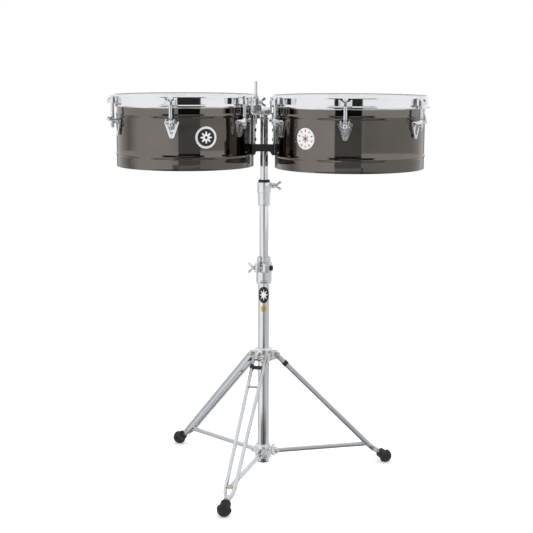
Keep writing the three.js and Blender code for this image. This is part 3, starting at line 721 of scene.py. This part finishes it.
def bar_stations(path, half_width, half_depth, edge):
    """Stations for a flat bar along a 3-D path in a leg's plane, with a half-round first end."""
    stations = []
    across = Vector((0, 1, 0))
    for i, spot in enumerate(path):
        ahead = (path[min(i + 1, len(path) - 1)] - path[max(i - 1, 0)]).normalized()
        side = (across - ahead * across.dot(ahead)).normalized()
        section = (side, ahead.cross(side), half_width, half_depth, edge)
        if i == 0:
            stations += half_round(spot, -ahead, *section)
        else:
            stations.append((spot, *section))
    return stations


def leg_bar(side):
    """One bar of a leg: straight and slowly closing, then bent in to the foot's stub."""
    out, up = polar(30, 90 + FOOT_LEAN)  # from the ball's centre to the bars' ends
    heel = Vector((FOOT_RADIUS + out, side * 3.7, FLOOR + BALL_HEIGHT + up))
    x0, z0 = along_leg(0)
    x1, z1 = along_leg(LEG_RUN + 14)
    start = Vector((x0, side * TOP_SPREAD, z0))
    bend = Vector((x1, side * END_SPREAD, z1))
    before = start.lerp(bend, 0.965)
    after = bend.lerp(heel, 0.45)
    path = [start, start.lerp(bend, 0.33), start.lerp(bend, 0.66)]
    path += [curve(before, bend, after, k / 6) for k in range(7)]
    path += [bend.lerp(heel, 0.8), heel + (heel - bend) * 0.12]
    return sweep(bar_stations(path, BAR_WIDTH, BAR_DEPTH, 1.3))


def in_leg_plane(obj, distance):
    """Carries a solid to a point on a leg's centre line."""
    x, z = along_leg(distance)
    return shifted(obj, x, 0, z)


def leg(n):
    azimuth = leg_azimuth(n)
    body = f"leg_{n}"
    to_foot = Matrix.Translation(BALL) @ LEAN_OUT
    stub = turned([(0, 12), (5.2, 12), (5.2, 31), (6.3, 32), (6.3, 38), (5.2, 39.5), (0, 39.5)],
                  0.5, 3, 32)
    bars = joined(leg_bar(-1), leg_bar(1), moved(stub, to_foot))
    eye = moved(bar_y(2.3, -9, 9, at=(0, 0, 27)), to_foot)
    piece(around(cut(bars, eye), azimuth), f"{body}_bars", body, BAR_CHROME, body)

    face = TOP_SPREAD + BAR_WIDTH
    pins = [in_leg_plane(rivet(5.5, -face - 2, face + 2, 2.2, 32), 0)]
    for turn in (180, 0):
        washer = along_y(cylinder(6.4, face - 0.2, face + 0.9, 32, 0.3))
        pins.append(in_leg_plane(around(washer, turn), 0))
    pins.append(in_leg_plane(rivet(3, -TOP_SPREAD, TOP_SPREAD, 0.8), 88))
    outer = END_SPREAD + BAR_WIDTH + 1.6
    pins.append(in_leg_plane(rivet(4.6, -outer, outer, 1.9), LEG_RUN))
    piece(around(joined(*pins), azimuth), f"{body}_rivets", body, ZINC)
    outside = 13.4 + BAR_WIDTH + 0.9
    studs = [in_leg_plane(rivet(2.6, low_y, low_y + 2, 0.9, 20), 222)
             for low_y in (-outside, outside - 2)]
    piece(around(joined(*studs), azimuth), f"{body}_studs", body, STEEL)

    (x0, z0), (x1, z1) = along_leg(24), along_leg(36)
    start, end = Vector((x0, 0.4 - TOP_SPREAD, z0)), Vector((x1, 0.4 - TOP_SPREAD, z1))
    side = Vector((0, 1, 0))
    up = (end - start).normalized().cross(side)
    sleeve = [(start.lerp(end, t), side, up, BAR_WIDTH + grow, BAR_DEPTH + grow, 1.6)
              for t, grow in ((0, 0.5), (0.06, 1.2), (0.5, 1.2), (0.94, 1.2), (1, 0.5))]
    piece(around(sweep(sleeve), azimuth), f"{body}_sleeve", body, PLASTIC)
    spacer = in_leg_plane(along_y(cylinder(5, -12.4, 12.4, 28, 0.6)), 30)
    piece(around(spacer, azimuth), f"{body}_spacer", body, PLASTIC)


def strut(n):
    azimuth = leg_azimuth(n)
    body = f"strut_{n}"
    half_width, half_depth, edge = 3.5, 5.4, 1.2
    inner, outer, z = PIVOT_RADIUS, OUTER_PIVOT[0] - 2.5, STRUT_PIVOT.z
    path = [Vector((x, 0, z)) for x in (inner, inner + 14, outer)]
    stations = bar_stations(path, half_width, half_depth, edge)
    side, up = stations[-1][1:3]
    stations += half_round(path[-1], Vector((1, 0, 0)), side, up, half_width, half_depth,
                           edge)[-2::-1]
    piece(around(sweep(stations), azimuth), f"{body}_bar", body, BAR_CHROME, body)
    pin = cut(rivet(4.4, -10.6, 10.6, 1.9, 28), bar_y(9, -8.5, 8.5, edge=0))
    pin = shifted(joined(pin, bar_y(3, -9.5, 9.5)), inner, 0, z)
    piece(around(pin, azimuth), f"{body}_rivet", body, ZINC)


def foot(n):
    """A rubber foot: a domed tread with a stepped rim under a tapered cap."""
    outline = [(0, -17.4)] + arc(0, 0, 17.4, -86, -8, 14)
    outline += [(17.9, -1.4), (18.2, 1.2), (17.6, 3.6), (14.2, 5.2), (13.2, 6.6), (12.9, 19.5),
                (11.8, 22), (10.2, 23), (6.2, 23.4), (5.4, 22.6), (5.4, 15), (0, 15)]
    tread = shifted(moved(turned(outline, 0.7, 3, 64), LEAN_OUT), *BALL)
    under = prism(rectangle(FOOT_RADIUS - 60, FOOT_RADIUS + 60, -60, 60), FLOOR - 60, FLOOR, 0)
    tread = around(cut(tread, under), leg_azimuth(n))
    piece(tread, f"foot_{n}_rubber", f"leg_{n}", RUBBER, f"foot_{n}")


spider()
lower_collar()
for number in (1, 2, 3):
    leg(number)
    strut(number)
    foot(number)


# ---------------------------------------------------------------- tilter and crossbar
TILT = joint_point("drums_tilt")
PLATE_TOP = TILT.z - 3
PLATE_BOTTOM = TILT.z - 6


def tilter_body():
    low = corners("tilter_body")[0]
    inside, top = TOP_RADIUS - 1.8, corners("top_tube")[1].z
    cap = [(0, low.z), (inside, low.z), (inside, top + 0.3), (11.6, top + 0.3), (12, top + 1.4),
           (12, top + 3), (9.5, top + 4.6), (0, top + 4.6)]
    neck = prism(soften(rectangle(-8, 8, -7.6, 7.6), 2.4, 4), top + 3, TILT.z, 0.4)
    barrel = bar_x(10, -9.5, 9.5, 48, 0.9, TILT)
    bore = bar_x(4.1, -12, 12, at=TILT)
    hole = bar_y(3.4, 3, 14, 32, at=TILT)
    piece(cut(joined(turned(cap, 0.6, 3, 56), neck, barrel), bore, hole), "tilter_casting",
          "top_tube", CAST_CHROME, "tilter_body")


def u_bracket():
    """A folded strip: a flat web with two arms standing up at its ends."""
    low, high = corners("tilter_yoke")
    half, top = high.x, high.z
    arm = [(half, top - 2), (half - 1, top), (half - 2, top), (half - 3, top - 1)]
    arm += arc(half - 8, PLATE_TOP + 5, 5, 0, -90, 8)
    elbow = arc(half - 8, PLATE_BOTTOM + 8, 8, -90, 0, 8)
    strip = arm + mirrored(arm[::-1]) + mirrored(elbow[::-1]) + elbow
    return upright(strip, low.y, low.y + 13, 0.6, 2)


def tilter_yoke():
    low, high = corners("tilter_yoke")
    flange = high.x - 2.8
    wing = joint_point("cowbell_rod_wing_turn")
    x, y = wing.x - 8, wing.y  # the cowbell rod's axis
    plate = [(-20, low.y + 12), (20, low.y + 12), (20, -14), (flange, -11.5), (flange, 11.5),
             (19, 14), (-19, 14), (-flange, 11.5), (-flange, -11.5), (-20, -14)]
    casting = soften(rectangle(x - 8, x + 14, y - 6.2, y + 5.8), 1.6, 3)
    post = soften(rectangle(x - 8, x + 8, y - 6.2, y + 5.8), 2.4, 4)
    solids = [u_bracket(), prism(casting, PLATE_TOP - 1, PLATE_TOP + 22, 1.2, 3),
              prism(post, PLATE_TOP + 20, PLATE_TOP + 38, 1.4, 3)]
    cheek = arc(0, TILT.z, 11.5, 0, 180, 16) + [(-11.5, PLATE_TOP - 1), (11.5, PLATE_TOP - 1)]
    web = soften(rectangle(-12, 12, 925 + FLOOR, PLATE_TOP - 0.4), 2, 3)
    solids += [sideways(outline, near, far, 0.5) for outline, near, far in
               ((cheek, -13, -10), (web, -flange, 3.3 - flange),
                (cheek, 10, 13), (web, flange - 3.3, flange))]
    slot = prism(rectangle(-9.9, 9.9, -10.8, 30), PLATE_BOTTOM - 1, TILT.z - 0.5, 0)
    bore = shifted(cylinder(5.2, PLATE_BOTTOM - 1, PLATE_TOP + 60, 32, 0.1), x, y, 0)
    hole = bar_x(3.5, x + 2, x + 12, at=(0, y, wing.z))
    drain = shifted(cylinder(3.4, PLATE_BOTTOM - 1, PLATE_TOP + 1, 24, 0.1), 12, -30, 0)
    yoke = joined(prism(soften(plate, 1.5, 3), PLATE_BOTTOM, PLATE_TOP, 0.5), *solids)
    piece(cut(yoke, slot, bore, hole, drain), "tilter_bracket", "tilter", CAST_CHROME,
          "tilter_yoke")
    pin = joined(bar_x(3.9, -13, 13, at=TILT), bar_x(6.2, -15.8, -12.9, 6, 0.5, TILT),
                 bar_x(6.2, 12.9, 15.8, 6, 0.5, TILT))
    piece(pin, "tilter_pin", "tilter", STEEL)


def crossbar():
    low, high = corners("crossbar")
    step = low.z + 10
    outline = [(low.x, low.z), (low.x + 3, low.z), (low.x + 9, step), (high.x - 9, step),
               (high.x - 3, low.z), (high.x, low.z), (high.x, high.z), (low.x, high.z)]
    bar = upright(soften(outline, 1.2, 4), low.y, high.y, 1.0, 3)
    piece(bar, "crossbar_steel", "tilter", BLACK_STEEL, "crossbar")


def cowbell_rod():
    low, high = corners("cowbell_rod")
    radius, middle = (high.x - low.x) / 2, (low + high) / 2
    outline = [(0, low.z), (radius - 1, low.z), (radius, low.z + 1), (radius, high.z - 1),
               (radius - 1, high.z), (0, high.z)]
    rod = shifted(turned(outline, 0.7, 4, 40), middle.x, middle.y, 0)
    piece(rod, "cowbell_rod_steel", "cowbell_rod", CHROME, "cowbell_rod")


tilter_body()
tilter_yoke()
crossbar()
cowbell_rod()


# ---------------------------------------------------------------- drums
ROD_OFFSET = 17  # tension rod axis outside the shell
LUG_COUNT = 6
BRACKET_SCREWS = (886, 910)  # heights above the floor
BADGE_TURNS = {"small": -62.8, "large": -121}  # azimuths on their shells


def shell(low, high, radius):
    def bead(middle, steps=14):
        shares = [2 * i / steps - 1 for i in range(steps + 1)]
        return [(radius + BEAD_RISE * 0.5 * (1 + math.cos(math.pi * t)), middle + BEAD_HALF * t)
                for t in shares]

    lower, upper = (bead(low.z + height) for height in BEAD_HEIGHTS)
    outline = [(radius - 2.2, low.z), (radius - 0.9, low.z), (radius - 0.25, low.z + 0.25),
               (radius, low.z + 0.9), (radius, low.z + 20)]
    outline += lower + [(radius, low.z + 55), (radius, low.z + 110)] + upper
    outline += [(radius, high.z - 8), (radius, high.z - 4), (radius - 3, high.z),
                (radius - 2.6, high.z - 4), (radius - 2.2, high.z - 8)]
    return revolve(outline, RIM_STEPS)


def head_film(low, high, radius):
    edge = radius + 1.7
    outline = [(0, high.z - 0.1), (radius - 8, high.z - 0.1), (radius - 3, high.z)]
    outline += arc(edge - 2.6, high.z - 2.6, 2.6, 90, 0, 8)
    outline += [(edge, low.z + 7.6), (edge + 1, low.z + 6.4), (edge + 1, low.z + 5.6),
                (edge - 0.4, low.z + 5.6), (edge - 0.4, high.z - 2.6)]
    outline += arc(edge - 3, high.z - 2.9, 2.4, 0, 90, 6)
    outline += [(radius - 8, high.z - 0.55), (0, high.z - 0.55)]
    return revolve(outline, RIM_STEPS)


def flesh_hoop(low, radius):
    outline = [(1, 0), (5.9, 0), (5.9, 7.2), (4.7, 7.2), (4.4, 1.6), (2.9, 1.6), (2.7, 7), (1.9, 7)]
    return turned([(radius + x, low.z + z) for x, z in outline], 0.5, 2, RIM_STEPS)


def hoop_rim(low, high, radius):
    """The hoop's section: a turned-in top edge, a plain wall and a rolled-out foot."""
    bottom, top, outer = low.z, high.z, radius + 8.5
    foot_edge = [(6.5, 0.2), (9.6, 0), (10.5, 0.7), (10.9, 2.2), (10.8, 4.2), (10.1, 6.3),
                 (9.1, 7.9), (8.6, 8.8), (8.5, 9.6)]
    outline = [(radius + x, bottom + z) for x, z in foot_edge] + [(outer, top - 5.8)]
    outline += [(outer - 4.2 + 4.2 * x, top - 5.4 + 5.4 * z) for x, z in arc(0, 0, 1, 0, 90, 9)]
    outline += [(outer - 4.9, top - 0.7), (outer - 4.2, top - 1.6), (outer - 2.6, top - 3.2),
                (outer - 2, top - 5.6), (outer - 2, bottom + 11.3), (radius + 3, bottom + 11.1),
                (radius + 3, bottom + 9.1), (outer - 2, bottom + 9)]
    return revolve(outline, RIM_STEPS)


def claw(low, radius):
    """A round-ended cup on the hoop, with a hole for the rod and two gussets in its floor."""
    floor, seat, rim = low.z + 9, low.z + 12.5, low.z + 24.5
    inner, centre, half = radius + 7.2, radius + 14.5, 16.2

    def plan(half_width, back):
        front = arc(centre, 0, half_width, -90, 90, 20)
        return [(back, -half_width)] + front + [(back, half_width)]

    cup = prism(plan(half, inner), floor, rim, 0.5)
    hollow = prism(plan(half - 2.4, inner - 2), seat, rim + 5, 0)
    slope = [(-1, 1), (-1, 0.05), (2, -0.5), (8, -3.4), (14, -7), (19, -7.8), (19, 1)]
    slope = upright([(centre + x, rim + z) for x, z in slope], -20, 20, 0)
    gusset = raised([(14.4, -1), (14.4, 7), (8.6, 1.2), (7.4, -1)], seat)
    gussets = [sideways(outline, inner + 1, centre + 3.5, 0.4)
               for outline in (mirrored(gusset), gusset)]
    hole = shifted(cylinder(5.4, floor - 1, seat + 1, 32, 0.1), radius + ROD_OFFSET, 0, 0)
    return cut(joined(cut(cup, hollow, slope), *gussets), hole)


def lug(low, high, radius):
    """A three-cornered plate with raised borders, a shelf between two horns, and a barrel nut."""
    tip, shelf = low.z + 7, high.z - 6
    face, front, reach = radius + 0.4, radius + 3.2, radius + 28.9
    lip, back = front + 1.9, front - 0.8
    outline = [(-19, shelf - 1.6)] + arc(0, tip, 7, 198, 342, 14) + [(19, shelf - 1.6)]
    for k in range(1, 8):
        t = k / 8
        outline.append((19 - 38 * t, shelf - 1.6 - 14 * t * (1 - t)))
    plate = sideways(soften(outline, 0.9, 2), face, lip, 0.9, 3)
    dish = [(-16.6, shelf + 6)] + arc(0, tip + 8, 3.6, 198, 342, 10) + [(16.6, shelf + 6)]
    hole = bar_x(3.1, front - 1.2, lip + 2, 28, 0.3, (0, 0, tip + 6))
    pin_hole = bar_x(1.6, front, lip + 2, 20, at=(0, 0, tip - 2.6))
    plate = cut(plate, sideways(dish, front - 1.0, lip + 4, 1.2, 3), hole, pin_hole)
    half_plan = [(back, -15.5), (radius + 12, -13.5), (reach - 1.5, -9.8), (reach, -8.5)]
    plan = half_plan + [(x, -y) for x, y in half_plan[::-1]]
    solids = [prism(soften(plan, 1.2, 3), shelf - 3, shelf)]
    horn = [(back, -15), (radius + 9, -8.2), (reach, -4), (reach, 0.6), (reach - 4.4, 5.8),
            (reach - 11.5, 1.6), (back, 0.4)]
    for middle in (-10, 10):
        solids.append(upright(soften(raised(horn, shelf), 1.2, 3), middle - 1.2, middle + 1.2, 0.7))
    nut = [(0, -15), (3.9, -15), (6, -13.6), (6.4, -10.4), (5.4, -7), (6.2, -3), (6.2, 2.2),
           (5.2, 3.4), (0, 3.4)]
    solids.append(shifted(turned(raised(nut, shelf), 0.7, 3, 40), radius + ROD_OFFSET, 0, 0))
    bore = shifted(cylinder(4.8, shelf - 16, shelf + 8, 32, 0.1), radius + ROD_OFFSET, 0, 0)
    return cut(joined(plate, *solids), bore)


def lug_screw(low, radius):
    outline = [(0, 2), (2.6, 2), (2.6, 2.9), (1.8, 3.6), (0, 3.8)]
    head = turned_x(raised(outline, radius), 0.4, 2, 24)
    slot = upright(rectangle(radius + 3.1, radius + 5, -3, 3), -0.4, 0.4, 0)
    cross = sideways(rectangle(-3, 3, -0.4, 0.4), radius + 3.1, radius + 5, 0)
    return shifted(cut(head, slot, cross), 0, 0, low.z + 13)


def rod_head(low, high, seat):
    """A square-headed tension rod about Z: head, collar and smooth shank."""
    square = soften([(6.4, 0), (0, 6.4), (-6.4, 0), (0, -6.4)], 1.2, 3)
    head = prism(square, seat + 1.6, high.z, 1.3, 3)
    collar = raised([(0, 0), (6.6, 0), (6.8, 0.8), (5.6, 2.6), (4.6, 4), (0, 4)], seat)
    shank = raised([(0, 27), (4.1, 27), (4.75, 29), (4.75, 35), (4.4, 38)], low.z)
    shank += [(4.4, seat + 1), (0, seat + 1)]
    return joined(head, turned(collar, 0.5, 2, 36), turned(shank, 0.5, 2, 32))


def rod_thread(low):
    outline = raised([(0, 0), (3.4, 0), (3.9, 0.8), (3.9, 28), (0, 28)], low.z)
    return turned(outline, 0.4, 2, 28)


def bracket_screw(near, height):
    """A domed hexagon-socket screw on the bracket's face."""
    outline = raised([(0, -0.6), (4.4, -0.6), (4.4, 1.4), (3.4, 3), (0, 3.4)], near)
    socket = bar_x(2.1, near + 1.4, near + 6, 6)
    return shifted(cut(turned_x(outline, 0.5, 3, 32), socket), 0, 0, height)


def petals(count, outer, inner):
    """A rosette with rounded petals, each of eight points."""
    points = []
    for i in range(count * 8):
        wave = 0.5 + 0.5 * math.cos(2 * math.pi * i / 8)
        points.append(polar(inner + (outer - inner) * wave, 90 + 360 * i / (count * 8)))
    return points


def small_pattern():
    """A bright rim round a black field with a plain eight-petal rosette."""
    return [(circle(1, 64), 1.3, BADGE_RIM), (circle(0.79, 56), 1.55, BLACK_ENAMEL),
            (petals(8, 0.56, 0.26), 1.75, WHITE_ENAMEL), (circle(0.13, 20), 1.95, BLACK_ENAMEL)]


def large_pattern():
    """A white field, a ring of red and grey lozenges and a small grey rosette."""
    parts = [(circle(1, 64), 1.3, WHITE_ENAMEL)]
    for i in range(10):
        turn = Matrix.Rotation(math.radians(36 * i), 2)
        lozenge = [turn @ Vector((0.15 * x, 0.74 + 0.15 * y))
                   for x, y in ((0, 1), (-0.55, 0), (0, -1), (0.55, 0))]
        parts.append((lozenge, 1.5, GREY_ENAMEL if i % 2 else RED_ENAMEL))
    return parts + [(petals(6, 0.40, 0.15), 1.5, GREY_ENAMEL), (circle(0.12, 20), 1.7, RED_ENAMEL)]


def badge(which, radius, axis, pattern, aspect):
    low, high = corners(f"{which}_badge")
    tall = high.z - low.z
    emblem(f"{which}_badge_plate", "tilter", radius, BADGE_TURNS[which], (low.z + high.z) / 2,
           tall * aspect, tall, pattern, axis, f"{which}_badge")


def drum(which, facing, pattern, aspect):
    """One drum, built about its own axis with its bracket towards +X, then turned to face."""
    rods = [joint_point(f"{which}_tension_rod_{k}_turn") for k in range(1, LUG_COUNT + 1)]
    axis = sum(rods, Vector()) / LUG_COUNT
    radius = math.hypot(rods[0].x - axis.x, rods[0].y - axis.y) - ROD_OFFSET
    shell_box, film_box, hoop_box, bracket_box, lug_box, rod_box = (
        corners(f"{which}_{node}")
        for node in ("shell", "head", "hoop", "bracket", "lug_1", "tension_rod_1"))

    def add(obj, name, material, node="", turn=0, angle=32):
        obj = shifted(around(obj, facing + turn), axis.x, axis.y, 0)
        piece(obj, f"{which}_{name}", "tilter", material, f"{which}_{node}" if node else "", angle)

    add(shell(*shell_box, radius), "drum_shell", BLACK_NICKEL, "shell")
    add(head_film(*film_box, radius), "drum_film", FILM, "head")
    add(flesh_hoop(film_box[0], radius), "flesh_hoop", STEEL)
    add(hoop_rim(*hoop_box, radius), "hoop_rim", CHROME, "hoop", angle=40)
    far = abs(axis.x) - 26.5  # the bracket's two faces, from the drum's axis
    near = abs(axis.x) - 23.5
    plate = rectangle(-12, 12, bracket_box[0].z, bracket_box[1].z)
    plate = sideways(soften(plate, 1.6, 4), far, near, 0.8, 3)
    # The plate's near-white material is a painted reflection of the bright room in its chrome.
    add(plate, "bracket_plate", PLATE_PAINTED_REFLECTION, "bracket")
    for i, height in enumerate(BRACKET_SCREWS, 1):
        add(bracket_screw(near, height + FLOOR), f"bracket_screw_{i}", BLACK_STEEL)

    claw_solid, lug_solid = claw(hoop_box[0], radius), lug(*lug_box, radius)
    screw_solid, thread_solid = lug_screw(lug_box[0], radius), rod_thread(rod_box[0])
    head_solid = rod_head(*rod_box, hoop_box[0].z + 12.8)
    for k, spot in enumerate(rods, 1):
        turn = math.degrees(math.atan2(spot.y - axis.y, spot.x - axis.x)) - facing
        add(copy_of(claw_solid), f"hoop_claw_{k}", CAST_CHROME, turn=turn)
        add(copy_of(lug_solid), f"lug_{k}_casting", CAST_CHROME, f"lug_{k}", turn)
        add(copy_of(screw_solid), f"lug_{k}_screw", STEEL, turn=turn)
        body = f"{which}_tension_rod_{k}"
        head = shifted(around(copy_of(head_solid), facing + turn), spot.x, spot.y, 0)
        piece(head, f"{body}_head", body, CAST_CHROME, body)
        thread = shifted(copy_of(thread_solid), spot.x, spot.y, 0)
        piece(thread, f"{body}_thread", body, THREAD)
    for spare in (claw_solid, lug_solid, screw_solid, head_solid, thread_solid):
        bpy.data.objects.remove(spare)
    badge(which, radius, axis, pattern, aspect)


drum("small", 0, small_pattern(), 1)
drum("large", 180, large_pattern(), 51 / 52)


# ---------------------------------------------------------------- stage, light and camera
FLOOR_HALF = 6000
PANEL_TOP = 1300
PANEL_LEFT, PANEL_RIGHT = (-375, -1330, 0), (570, -1500, 0)
CAMERA_PLACE = (0.3822, -3.1459, 1.058)
CAMERA_LENS = 83.35
VIEW_PITCH = 9.51  # downwards
VIEW_ROLL = 0.2

# Brightness of the room by azimuth in degrees, 0 towards the camera and positive to its right.
ROOM = [(-180, 0.15), (-160, 0.22), (-150, 0.85), (-138, 0.92), (-120, 0.72), (-104, 0.45),
        (-92, 0.72), (-82, 1.0), (-26, 1.0), (22, 0.52), (50, 0.60), (105, 0.62), (120, 0.72),
        (138, 0.92), (150, 0.85), (160, 0.22), (180, 0.15)]
ROOM_TOP = 0.97  # brightness above the horizon, which is blurred between these degrees
HORIZON = (-2.3, -2.0)
# (half width, lowest and highest elevation, how dark) of the gaps between the lamps
LAMP_GAPS = ((38, 15, 42, 0.96), (60, -44, -22, 0.75), (18, -90, -10, 0.6))
# Brightness of the dark panel by height above the floor.
PANEL = [(0, 0.06), (60, 0.07), (110, 0.3), (340, 0.33), (420, 0.5), (520, 0.5), (620, 0.27),
         (862, 0.26), (868, 0.02), (1329, 0.02)]


def sheet(name, points, material):
    """A flat four-cornered stage piece."""
    bm = bmesh.new()
    bm.faces.new([bm.verts.new(point) for point in points])
    obj = as_object(bm)
    obj.name = name
    obj.data.materials.append(material)
    return obj


def studio_floor():
    material, tree, shader = new_material("floor_paper", (0.93, 0.93, 0.93), 0.0, 0.9)
    tone = spread(tree, noise(tree, 3, 3), 0, 1)
    tree.links.new(between(tree, tone, (0.92, 0.92, 0.92), (0.95, 0.95, 0.95)),
                   shader.inputs["Base Color"])
    shader.inputs["Emission Color"].default_value = (1, 1, 1, 1)
    shader.inputs["Emission Strength"].default_value = 0.35
    bump(tree, shader, [(noise(tree, 400, 2), 0.1, 0.1)])
    square = rectangle(-FLOOR_HALF, FLOOR_HALF, -FLOOR_HALF, FLOOR_HALF)
    floor = sheet("studio_floor", [(x, y, FLOOR) for x, y in square], material)
    floor.visible_glossy = False


def math_node(tree, operation, *values):
    node = tree.nodes.new("ShaderNodeMath")
    node.operation = operation
    for socket, value in zip(node.inputs, values):
        if isinstance(value, bpy.types.NodeSocket):
            tree.links.new(value, socket)
        else:
            socket.default_value = value
    return node.outputs["Value"]


def window(tree, value, low, high, edge):
    """One inside a range and zero outside it, with soft edges."""
    rise = spread(tree, value, 0, 1, low - edge, low + edge)
    fall = spread(tree, value, 1, 0, high - edge, high + edge)
    return math_node(tree, "MULTIPLY", rise, fall)


def profile(tree, value, stops):
    """A piecewise-linear curve of a value between 0 and 1, as (position, result) stops."""
    ramp = tree.nodes.new("ShaderNodeValToRGB")
    elements = ramp.color_ramp.elements
    elements[0].position, elements[1].position = stops[0][0], stops[-1][0]
    for position, _ in stops[1:-1]:
        elements.new(position)
    for element, (_, level) in zip(elements, stops):
        element.color = (level, level, level, 1)
    tree.links.new(value, ramp.inputs["Fac"])
    return ramp.outputs["Color"]


def blend(tree, factor, first, second):
    """Mixes two values by a third."""
    node = tree.nodes.new("ShaderNodeMix")
    node.data_type = "FLOAT"
    tree.links.new(factor, node.inputs["Factor"])
    tree.links.new(first, node.inputs["A"])
    node.inputs["B"].default_value = second
    return node.outputs["Result"]


def studio_world():
    """A bright room for the plating to mirror, plain white to the camera itself."""
    world = bpy.data.worlds.new("studio")
    world.use_nodes = True
    bpy.context.scene.world = world
    tree = world.node_tree
    turn = add_node(tree, "VectorRotate", {"Angle": math.radians(-VIEW_AZIMUTH),
                                           "Vector": coordinates(tree, "Generated")},
                    rotation_type="Z_AXIS").outputs["Vector"]
    split = add_node(tree, "SeparateXYZ", {"Vector": turn})
    x, y, z = (split.outputs[i] for i in range(3))
    azimuth = math_node(tree, "ARCTAN2", x, math_node(tree, "MULTIPLY", y, -1))
    squares = [math_node(tree, "MULTIPLY", value, value) for value in (x, y)]
    flat = math_node(tree, "SQRT", math_node(tree, "ADD", *squares))
    height = math_node(tree, "ARCTAN2", z, flat)
    share = spread(tree, azimuth, 0, 1, -math.pi, math.pi)
    walls = profile(tree, share, [(0.5 + a / 360, level) for a, level in ROOM])
    above = spread(tree, height, 0, 1, *(math.radians(a) for a in HORIZON))
    light = blend(tree, above, walls, ROOM_TOP)
    degree = math.radians(1)
    for half_width, low, high, darkness in LAMP_GAPS:
        across = window(tree, azimuth, -half_width * degree, half_width * degree, degree)
        up = window(tree, height, low * degree, high * degree, degree)
        gap = math_node(tree, "MULTIPLY", math_node(tree, "MULTIPLY", across, up), darkness)
        light = math_node(tree, "MULTIPLY", light, math_node(tree, "SUBTRACT", 1, gap))
    seen = add_node(tree, "LightPath", {}).outputs["Is Camera Ray"]
    background = tree.nodes["Background"]
    background.inputs["Color"].default_value = (1, 1, 1, 1)
    tree.links.new(blend(tree, seen, light, 1), background.inputs["Strength"])


def dark_panel():
    """A dark screen in front of the drums, seen only as a mirror image in the plating."""
    material = bpy.data.materials.new("dark_panel")
    material.use_nodes = True
    tree = material.node_tree
    tree.nodes.clear()
    split = add_node(tree, "SeparateXYZ", {"Vector": coordinates(tree)})
    share = spread(tree, split.outputs["Z"], 0, 1, FLOOR * MM, PANEL_TOP * MM)
    level = profile(tree, share, [(z / (PANEL_TOP - FLOOR), value) for z, value in PANEL])
    glow = add_node(tree, "Emission", {"Strength": level}).outputs["Emission"]
    add_node(tree, "OutputMaterial", {"Surface": glow})
    left, right = (rotation(VIEW_AZIMUTH, "Z") @ Vector(end) for end in (PANEL_LEFT, PANEL_RIGHT))
    points = [(spot.x, spot.y, z) for spot, z in
              ((left, FLOOR), (right, FLOOR), (right, PANEL_TOP), (left, PANEL_TOP))]
    panel = sheet("dark_panel", points, material)
    panel.visible_camera = False
    panel.visible_diffuse = False
    panel.visible_shadow = False
    panel.visible_transmission = False


def soft_light(name, place, target, size, power):
    data = bpy.data.lights.new(name, "AREA")
    data.shape = "RECTANGLE"
    data.size = data.size_y = size
    data.energy = power
    obj = linked(name, data)
    obj.location = place
    heading = Vector(target) - Vector(place)
    obj.rotation_euler = heading.to_track_quat("-Z", "Y").to_euler()
    obj.visible_glossy = False
    obj.visible_camera = False


def studio_camera():
    data = bpy.data.cameras.new("camera")
    data.lens = CAMERA_LENS
    data.sensor_width = 36
    data.clip_end = 50
    camera = linked("camera", data)
    turn = rotation(VIEW_AZIMUTH, "Z") @ rotation(90 - VIEW_PITCH, "X") @ rotation(VIEW_ROLL, "Z")
    camera.matrix_world = Matrix.Translation(CAMERA_PLACE) @ turn
    bpy.context.scene.camera = camera


studio_floor()
studio_world()
dark_panel()
soft_light("top_light", (0.3, -0.6, 3.4), (0, 0, 0.4), 2.6, 28)
studio_camera()
bpy.context.scene.view_settings.view_transform = "Standard"
